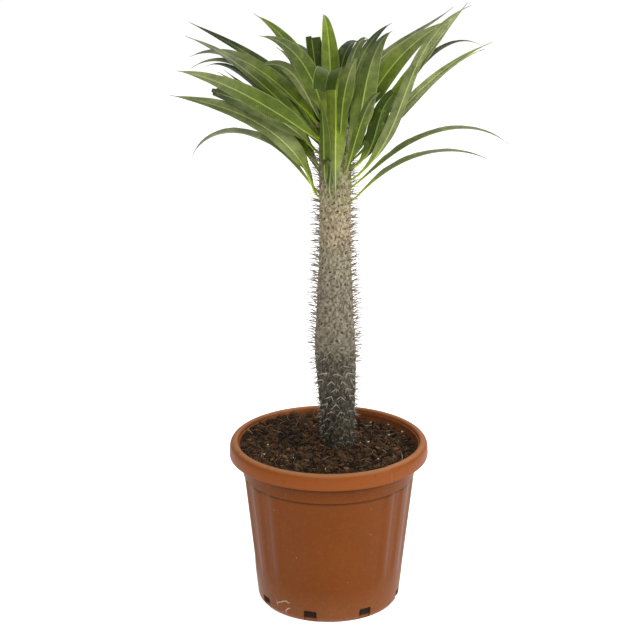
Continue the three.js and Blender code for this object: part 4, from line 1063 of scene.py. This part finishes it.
def blade_tree():
    """Geometry tree: wraps a folded blade round a midrib, thick there and thin at its wavy edges."""
    tree, given, made = geometry_tree("blade along a midrib", {
        "Around": ("Int", LEAF_AROUND),
        "Fold": ("Float", math.radians(LEAF_FOLD)),
        "Edge thickness": ("Float", 0.5 * MM),
        "Rib thickness": ("Float", 2.2 * MM),
        "Rib width": ("Float", 1.3 * MM),
        "Ruffle": ("Float", 1.4 * MM),
        "Seed": ("Int", 0),
        "Cut": ("Float", 1.0),
        "Torn": ("Float", 0.0),
        "Stalk green": ("Color", None),
        "Blade green": ("Color", None),
        "Tip green": ("Color", None),
    })
    stored = {"side": "FLOAT_VECTOR", "above": "FLOAT_VECTOR"}
    stored.update({"half": "FLOAT", "bulk": "FLOAT", "share": "FLOAT"})
    skin, turn, angle, at = skin_round(tree, given, stored)
    # Points crowd towards the midrib and the edges: across goes from 1 to -1 and back underneath.
    swing = add(tree, "ShaderNodeMath", [angle], operation="COSINE")
    size = add(tree, "ShaderNodeMath", [swing], operation="ABSOLUTE")
    crowded = add(tree, "ShaderNodeMath", [size, 1.6], operation="POWER")
    sign = add(tree, "ShaderNodeMath", [swing], operation="SIGN")
    across = add(tree, "ShaderNodeMath", [crowded, sign], operation="MULTIPLY")
    under = add(tree, "ShaderNodeMath", [turn, 0.5001], operation="GREATER_THAN")
    fold_in = add(tree, "ShaderNodeMath", [given["Fold"]], operation="COSINE")
    fold_up = add(tree, "ShaderNodeMath", [given["Fold"]], operation="SINE")
    from_rib = add(tree, "ShaderNodeMath", [crowded, at["half"]], operation="MULTIPLY")
    reach = add(tree, "ShaderNodeMath", [across, at["half"]], operation="MULTIPLY")
    sideways = add(tree, "ShaderNodeMath", [reach, fold_in], operation="MULTIPLY")
    rise = add(tree, "ShaderNodeMath", [from_rib, fold_up], operation="MULTIPLY")
    # The rib swells the underside, and leaves a shallow channel on top.
    rib_share = add(tree, "ShaderNodeMath", [from_rib, given["Rib width"]], operation="DIVIDE")
    rib_square = add(tree, "ShaderNodeMath", [rib_share, rib_share], operation="MULTIPLY")
    rib_fall = add(tree, "ShaderNodeMath", [rib_square, -1], operation="MULTIPLY")
    rib = add(tree, "ShaderNodeMath", [rib_fall], operation="EXPONENT")
    edge = given["Edge thickness"]
    rib_depth = add(tree, "ShaderNodeMapRange", [at["share"], 0.0, 1.0, given["Rib thickness"], edge])
    rib_drop = add(tree, "ShaderNodeMath", [rib_depth, edge], operation="SUBTRACT")
    below = add(tree, "ShaderNodeMath", [rib, rib_drop, edge], operation="MULTIPLY_ADD")
    channel = add(tree, "ShaderNodeMath", [rib, 0.25 * MM], operation="MULTIPLY")
    sunk = add(tree, "ShaderNodeMix", [under, channel, below], data_type="FLOAT")
    # Waves some 25 mm long run down both edges.
    sided = add(tree, "ShaderNodeVectorMath", [at["side"], across], operation="SCALE")
    apart = add(tree, "ShaderNodeVectorMath", [sided, 0.03], operation="SCALE")
    where = add(tree, "ShaderNodeVectorMath", [at["middle"], apart], operation="ADD")
    waves = {"Vector": where, "W": given["Seed"], "Scale": 38, "Detail": 2}
    wave = add(tree, "ShaderNodeTexNoise", waves, noise_dimensions="4D")
    wave_middle = add(tree, "ShaderNodeMath", [wave, 0.5], operation="SUBTRACT")
    edge_share = add(tree, "ShaderNodeMath", [crowded, crowded], operation="MULTIPLY")
    wave_edge = add(tree, "ShaderNodeMath", [wave_middle, edge_share], operation="MULTIPLY")
    wide = add(tree, "ShaderNodeMapRange", [at["half"], 2 * MM, 9 * MM, 0, 4.0])
    ruffle_size = add(tree, "ShaderNodeMath", [given["Ruffle"], wide], operation="MULTIPLY")
    ruffle = add(tree, "ShaderNodeMath", [wave_edge, ruffle_size], operation="MULTIPLY")
    lifted = add(tree, "ShaderNodeMath", [rise, ruffle], operation="ADD")
    upward = add(tree, "ShaderNodeMath", [lifted, sunk], operation="SUBTRACT")
    side_part = add(tree, "ShaderNodeVectorMath", [at["side"], sideways], operation="SCALE")
    up_part = add(tree, "ShaderNodeVectorMath", [at["above"], upward], operation="SCALE")
    off = add(tree, "ShaderNodeVectorMath", [side_part, up_part], operation="ADD")
    off_bulk = add(tree, "ShaderNodeVectorMath", [off, at["bulk"]], operation="SCALE")
    whole_end = add(tree, "ShaderNodeVectorMath", [at["middle"], off_bulk], operation="ADD")
    # A torn leaf ends in steps: strips of it are shorter by up to a few millimetres.
    ahead = add(tree, "ShaderNodeVectorMath", [at["side"], at["above"]], operation="CROSS_PRODUCT")
    strip = add(tree, "ShaderNodeMath", [across, 2.6, given["Seed"]], operation="MULTIPLY_ADD")
    strips = add(tree, "ShaderNodeTexVoronoi", {"W": strip, "Scale": 1}, "Color", voronoi_dimensions="1D")
    shortfall = add(tree, "ShaderNodeSeparateXYZ", [strips])
    tear_from = add(tree, "ShaderNodeMath", [given["Cut"], 0.06], operation="SUBTRACT")
    at_tear = add(tree, "ShaderNodeMapRange", [at["share"], tear_from, given["Cut"]])
    torn_by = add(tree, "ShaderNodeMath", [shortfall, given["Torn"]], operation="MULTIPLY")
    back = add(tree, "ShaderNodeMath", [torn_by, at_tear], operation="MULTIPLY")
    pulled = add(tree, "ShaderNodeVectorMath", [ahead, back], operation="SCALE")
    final = add(tree, "ShaderNodeVectorMath", [whole_end, pulled], operation="SUBTRACT")
    # The green changes from the stalk to the blade and the tip, and the thread is brown.
    stalk, flat, tip = [given[part + " green"] for part in ("Stalk", "Blade", "Tip")]
    green = lay_over(tree, stalk, flat, at["share"], (0.03, 0.34), fade="SMOOTHSTEP")
    green = lay_over(tree, green, tip, at["share"], (0.45, 0.85), fade="SMOOTHSTEP")
    green = lay_over(tree, green, "#6e5a3c", at["share"], (0.985, 1.0))
    rib_mm = add(tree, "ShaderNodeMath", [from_rib, MM], operation="DIVIDE")
    values = {"green": green, "share": at["share"], "from_rib": rib_mm}
    values.update({"to_edge": crowded, "under": under})
    wrap_skin(tree, skin, final, values, 0.005 * MM, leaf_material(), made)
    return tree


def leaf_material():
    """Leathery leaf with a thin wax coat: satin above, duller beneath, with a pale midrib."""
    material, tree, shader = new_material("waxy_leaf")
    place = add(tree, "ShaderNodeTexCoord", out="Object")
    green = add(tree, "ShaderNodeAttribute", attribute_name="green")
    share, from_rib, to_edge, under = [
        add(tree, "ShaderNodeAttribute", out="Fac", attribute_name=label)
        for label in ("share", "from_rib", "to_edge", "under")
    ]
    # Soft clouds of tone, some 15 mm across, as leaves of different light and age have.
    clouds = add(tree, "ShaderNodeTexNoise", {"Vector": place, "Scale": 70, "Detail": 5, "Roughness": 0.6})
    colour = lay_over(tree, green, "#2c3a12", clouds, (0.55, 0.3), 0.55)
    colour = lay_over(tree, colour, "#93a04c", clouds, (0.55, 0.78), 0.4)
    # Side veins leave the midrib at a slant, some 3 mm apart.
    slant = add(tree, "ShaderNodeMath", [share, 220, from_rib], operation="MULTIPLY_ADD")
    rhythm = add(tree, "ShaderNodeMath", [slant, 2.1], operation="MULTIPLY")
    vein_wave = add(tree, "ShaderNodeMath", [rhythm], operation="SINE")
    vein = add(tree, "ShaderNodeMapRange", [vein_wave, 0.7, 1.0, 0, 0.14])
    colour = add(tree, "ShaderNodeMix", [vein, colour, linear("#a9b878")], data_type="RGBA")
    # A pale midrib 1.5 mm wide, fading to the tip, and a thin pale edge.
    rib_line = add(tree, "ShaderNodeMapRange", [from_rib, 1.15, 0.5], interpolation_type="SMOOTHSTEP")
    rib_fade = add(tree, "ShaderNodeMapRange", [share, 0.45, 0.98, 0.85, 0.15])
    rib_amount = add(tree, "ShaderNodeMath", [rib_line, rib_fade], operation="MULTIPLY")
    bright = [1.0, green, (2.4, 2.4, 2.4, 1)]
    lighter = add(tree, "ShaderNodeMix", bright, data_type="RGBA", blend_type="MULTIPLY")
    rib_green = add(tree, "ShaderNodeMix", [0.22, lighter, linear("#c4d07e")], data_type="RGBA")
    colour = add(tree, "ShaderNodeMix", [rib_amount, colour, rib_green], data_type="RGBA")
    colour = lay_over(tree, colour, "#a7b37a", to_edge, (0.93, 1.0), 0.45)
    gloss = add(tree, "ShaderNodeMapRange", [under, 0, 1, 0.45, 0.6])
    tree.links.new(gloss, shader.inputs["Roughness"])
    grain = add(tree, "ShaderNodeTexNoise", {"Vector": place, "Scale": 600, "Detail": 3})
    heights = add(tree, "ShaderNodeMath", [vein, 2.0, grain], operation="MULTIPLY_ADD")
    dress(tree, shader, colour, heights, 0.35, 0.25, {"IOR": 1.45, "Specular IOR Level": 0.14})
    return material


blade = blade_tree()
draw = seeded_random(11)
leaf_lines = []
for number, leaf in enumerate(LEAVES, 1):
    places, sides, ups, halves, bulks, shares = midrib(leaf, draw, TORN_WHERE_WIDE.get(number, 1))
    leaf_lines.append((places, halves))
    line = new_piece("midrib", places, [], {
        "side": sides, "above": ups, "half": halves * MM, "bulk": bulks, "share": shares})
    stalk, flat, tip = [linear(GREENS[name]) for name in leaf[10:]]
    settings = {"Seed": number, "Stalk green": stalk, "Blade green": flat, "Tip green": tip}
    if leaf[9] < 1:
        settings.update({"Cut": leaf[9], "Torn": LEAF_TEAR * MM})
    piece = grown(f"palm_leaf_{number:02d}", line, blade, settings)
    smooth_faces(piece, 60)
    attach(piece, "root")
    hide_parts(f"leaf_{number:02d}")

# ---------------------------------------------------------------- spines
# The spines harden as the leaf between them grows. They stand in fans of four on the areoles,
# longest on the upper stem and worn short near the soil, and none stands in a leaf's way.

SPINE_THICKNESS = 0.66
SPINE_TIP_SHIFT = 0.9
SPINE_SIDES = 5
SPINE_SEGMENTS = 4
SPINE_GROWS_OVER = 155
# How long and stout a fan's spines are, and how far they spread and lift in degrees: first just
# above the soil, then on the upper stem.
SPINE_FANS = {"reach": (8, 19.5), "stout": (0.65, 0.93), "spread": (46, 26), "lift": (-34, 4)}
SPINES_WORN_BELOW = 370
SPINES_WORN_SHARE = 0.22
SPINE_CLEARANCE = 4
SPINE_PROBE = 6
AREOLE_RISE = 0.3


def spine_tree():
    """Geometry tree: stands a fan of tapered spines on every areole, each leaning its own way."""
    tree, given, made = geometry_tree("spines on areoles", {
        "Spine": ("Object", None),
        "In a fan": ("Int", 4),
        "Wander": ("Float", math.radians(17)),
        "Seed": ("Int", 4),
    })
    spots = add(tree, "GeometryNodeMeshToPoints", [given["Geometry"]])
    spread, lift, reach, stout = [
        add(tree, "GeometryNodeInputNamedAttribute", {"Name": label}, data_type="FLOAT")
        for label in ("spread", "lift", "reach", "stout")
    ]
    members = {"Geometry": spots, "Amount": given["In a fan"]}
    fan = add(tree, "GeometryNodeDuplicateElements", members, domain="POINT")
    # Four random values for each spine: two ways to wander, a turn about itself, and a length.
    wander = given["Wander"]
    back = add(tree, "ShaderNodeMath", [wander, -1], operation="MULTIPLY")
    seed = given["Seed"]
    pitch_seed = add(tree, "ShaderNodeMath", [seed, 7], operation="ADD")
    spin_seed = add(tree, "ShaderNodeMath", [seed, 13], operation="ADD")
    yaw_way, pitch_way, spin, uneven = [
        add(tree, "FunctionNodeRandomValue", {"Min": low, "Max": high, "Seed": key}, data_type="FLOAT")
        for low, high, key in [
            (back, wander, seed), (back, wander, pitch_seed),
            (0.0, 6.283, spin_seed), (0.72, 1.12, spin_seed),
        ]
    ]
    # The first two spines spread to the left and right. The others are short and stand between them.
    member = fan.node.outputs["Duplicate Index"]
    side = add(tree, "ShaderNodeMath", [member, 2, -1], operation="MULTIPLY_ADD")
    third = add(tree, "ShaderNodeMath", [member, 1.5], operation="GREATER_THAN")
    pair = add(tree, "ShaderNodeMath", [1, third], operation="SUBTRACT")
    sided = add(tree, "ShaderNodeMath", [side, pair], operation="MULTIPLY")
    yaw = add(tree, "ShaderNodeMath", [sided, spread, yaw_way], operation="MULTIPLY_ADD")
    third_lift = add(tree, "ShaderNodeMath", [third, 0.32, lift], operation="MULTIPLY_ADD")
    pitch = add(tree, "ShaderNodeMath", [pitch_way, third_lift], operation="ADD")
    outward = add(tree, "GeometryNodeInputNamedAttribute", {"Name": "outward"}, data_type="FLOAT_VECTOR")
    sideways = add(tree, "ShaderNodeVectorMath", [(0, 0, 1), outward], operation="CROSS_PRODUCT")
    level = add(tree, "ShaderNodeVectorMath", [sideways], operation="NORMALIZE")
    up = add(tree, "ShaderNodeVectorMath", [outward, level], operation="CROSS_PRODUCT")
    yaw_slope = add(tree, "ShaderNodeMath", [yaw], operation="TANGENT")
    pitch_slope = add(tree, "ShaderNodeMath", [pitch], operation="TANGENT")
    yawed = add(tree, "ShaderNodeVectorMath", [level, yaw_slope], operation="SCALE")
    pitched = add(tree, "ShaderNodeVectorMath", [up, pitch_slope], operation="SCALE")
    swung = add(tree, "ShaderNodeVectorMath", [outward, yawed], operation="ADD")
    along = add(tree, "ShaderNodeVectorMath", [swung, pitched], operation="ADD")
    aligned = add(tree, "FunctionNodeAlignRotationToVector", {"Vector": along}, axis="Z")
    spin_turn = add(tree, "ShaderNodeCombineXYZ", [0, 0, spin])
    spun = add(tree, "FunctionNodeEulerToRotation", [spin_turn])
    turned = add(tree, "FunctionNodeRotateRotation", [aligned, spun], rotation_space="LOCAL")
    shorter = add(tree, "ShaderNodeMath", [third, -0.35, uneven], operation="MULTIPLY_ADD")
    length = add(tree, "ShaderNodeMath", [reach, shorter], operation="MULTIPLY")
    size = add(tree, "ShaderNodeCombineXYZ", [stout, stout, length])
    form = add(tree, "GeometryNodeObjectInfo", {"Object": given["Spine"]}, out="Geometry")
    standing = {"Points": fan, "Instance": form, "Rotation": turned, "Scale": size}
    spines = add(tree, "GeometryNodeInstanceOnPoints", standing)
    hand_over(tree, spines, spine_material(), made)
    return tree


def spine_material():
    """Hard dry spines: brown-grey and a little glossy, bleached where they are old."""
    material, tree, shader = new_material("dry_spine")
    place = add(tree, "ShaderNodeTexCoord", out="Object")
    height = add(tree, "ShaderNodeSeparateXYZ", [place], out="Z")
    tip = add(tree, "ShaderNodeAttribute", out="Fac", attribute_name="along")
    colour = lay_over(tree, linear("#867866"), "#b0a798", height, (0.38, 0.33))
    # Those just above the soil are grey with the dirt that rain and watering splash on them.
    colour = lay_over(tree, colour, "#5d564a", height, (0.3, 0.235), 0.75)
    colour = lay_over(tree, colour, "#4a3a30", tip, (0.3, 1.0), 0.4)
    # Fine lengthwise wear, drawn 1 mm coarse.
    wear = add(tree, "ShaderNodeTexNoise", {"Vector": place, "Scale": 900})
    dress(tree, shader, colour, wear, 0.3, 0.1, {"Roughness": 0.5})
    return material


def spine_form():
    """One spine a millimetre long and full thickness, bent a little."""
    points, tips = [], []
    for k in range(SPINE_SEGMENTS):
        share = k / SPINE_SEGMENTS
        girth = SPINE_THICKNESS * (1.03 - share) ** 0.4
        for i in range(SPINE_SIDES):
            turn = 2 * math.pi * i / SPINE_SIDES
            x = girth * math.cos(turn) + SPINE_TIP_SHIFT * share * share
            points.append((x, girth * math.sin(turn), share))
            tips.append(share)
    points.append((SPINE_TIP_SHIFT, 0, 1))
    tips.append(1)
    faces = tube_faces(SPINE_SEGMENTS, SPINE_SIDES)
    top = (SPINE_SEGMENTS - 1) * SPINE_SIDES
    tip = SPINE_SEGMENTS * SPINE_SIDES
    faces += [(top + i, top + (i + 1) % SPINE_SIDES, tip) for i in range(SPINE_SIDES)]
    faces.append(tuple(range(SPINE_SIDES))[::-1])
    return new_piece("spine_form", points, faces, {"along": tips})


def areoles():
    """A point for every fan of spines, with its way out of the bark and what its spines are like."""
    draw = seeded_random(31)
    places, ways = [], []
    fans = {label: [] for label in SPINE_FANS}
    for row in range(TUBERCLE_ROWS):
        height = TUBERCLE_FIRST + row * TUBERCLE_PITCH
        age = min((height - TUBERCLE_FIRST) / SPINE_GROWS_OVER, 1)
        slope = (stem_radius(height + 1) - stem_radius(height - 1)) / 2
        for i in range(TUBERCLES_AROUND):
            azimuth = (2 * i + row % 2) * math.pi / TUBERCLES_AROUND + TUBERCLE_TWIST * height
            out = np.array([math.cos(azimuth), math.sin(azimuth), 0])
            foot = stem_axis(height) + out * (stem_radius(height) + AREOLE_RISE)
            way = np.array([out[0], out[1], -slope])
            way = way / np.linalg.norm(way)
            middle = foot + SPINE_PROBE * way
            gaps = []
            for line, halves in leaf_lines:
                gaps.append(np.min(np.linalg.norm(line - middle, axis=1) - 0.7 * halves))
            clear = min(gaps) > SPINE_CLEARANCE
            worn_off = height < SPINES_WORN_BELOW and next(draw) < SPINES_WORN_SHARE
            if clear and not worn_off:
                places.append(foot)
                ways.append(way)
                for label, (low, high) in SPINE_FANS.items():
                    fans[label].append(low + (high - low) * age)
    for label in ("spread", "lift"):
        fans[label] = np.radians(fans[label])
    return new_piece("areoles", places, [], {"outward": ways, **fans})


form = spine_form()
spines = grown("stem_spines", areoles(), spine_tree(), {"Spine": form})
bpy.data.objects.remove(form)
smooth_faces(spines, 70)
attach(spines, "root")

# ---------------------------------------------------------------- studio
# A pale sweep of floor under a broad, even light, as for a plant catalogue. The camera stands in
# front, a little above the plant, and looks down at it.

CAMERA_PLACE = (-11.9, -2500, 1215)
CAMERA_PITCH = 18.07
CAMERA_LENS = 110.95
FLOOR_HALF_WIDTH = 14000


def studio_floor():
    """A wide pale floor."""
    corners = [(-1, -1, 0), (1, -1, 0), (1, 1, 0), (-1, 1, 0)]
    points = [[FLOOR_HALF_WIDTH * c for c in corner] for corner in corners]
    floor = new_piece("studio_floor", points, [(0, 1, 2, 3)])
    material, _, shader = new_material("matt_paper")
    shader.inputs["Base Color"].default_value = linear("#f7f6f4")
    shader.inputs["Roughness"].default_value = 0.9
    shader.inputs["Specular IOR Level"].default_value = 0.1
    shader.inputs["Emission Color"].default_value = (1, 1, 1, 1)
    shader.inputs["Emission Strength"].default_value = 0.7
    floor.data.materials.append(material)
    return floor


studio_floor()

# Softboxes: where each stands, its width and height, and its power.
SOFTBOXES = [
    ("key", (-0.2, -2.7, 2.9), 1.6, 1.2, 64),
    ("fill", (2.4, -1.2, 1.6), 1.8, 1.8, 47),
    ("back", (0.3, 2.2, 2.6), 2.6, 1.4, 34),
]
for label, spot, width, tall, power in SOFTBOXES:
    light = bpy.data.lights.new(label, "AREA")
    light.shape = "RECTANGLE"
    light.size = width
    light.size_y = tall
    light.energy = power
    softbox = bpy.data.objects.new(label, light)
    scene.collection.objects.link(softbox)
    softbox.location = spot
    softbox.rotation_euler = (Vector((0, 0, 0.4)) - Vector(spot)).to_track_quat("-Z", "Y").to_euler()

world = bpy.data.worlds.new("studio")
world.use_nodes = True
world.node_tree.nodes["Background"].inputs["Color"].default_value = (1, 1, 1, 1)
world.node_tree.nodes["Background"].inputs["Strength"].default_value = 0.3
scene.world = world
scene.view_settings.view_transform = "Standard"

camera_data = bpy.data.cameras.new("camera")
camera_data.lens = CAMERA_LENS
camera_data.sensor_width = 36
camera_data.clip_end = 60
camera = bpy.data.objects.new("camera", camera_data)
scene.collection.objects.link(camera)
camera.location = [c * MM for c in CAMERA_PLACE]
camera.rotation_euler = (math.radians(90 - CAMERA_PITCH), 0, 0)
scene.camera = camera

bpy.context.view_layer.update()
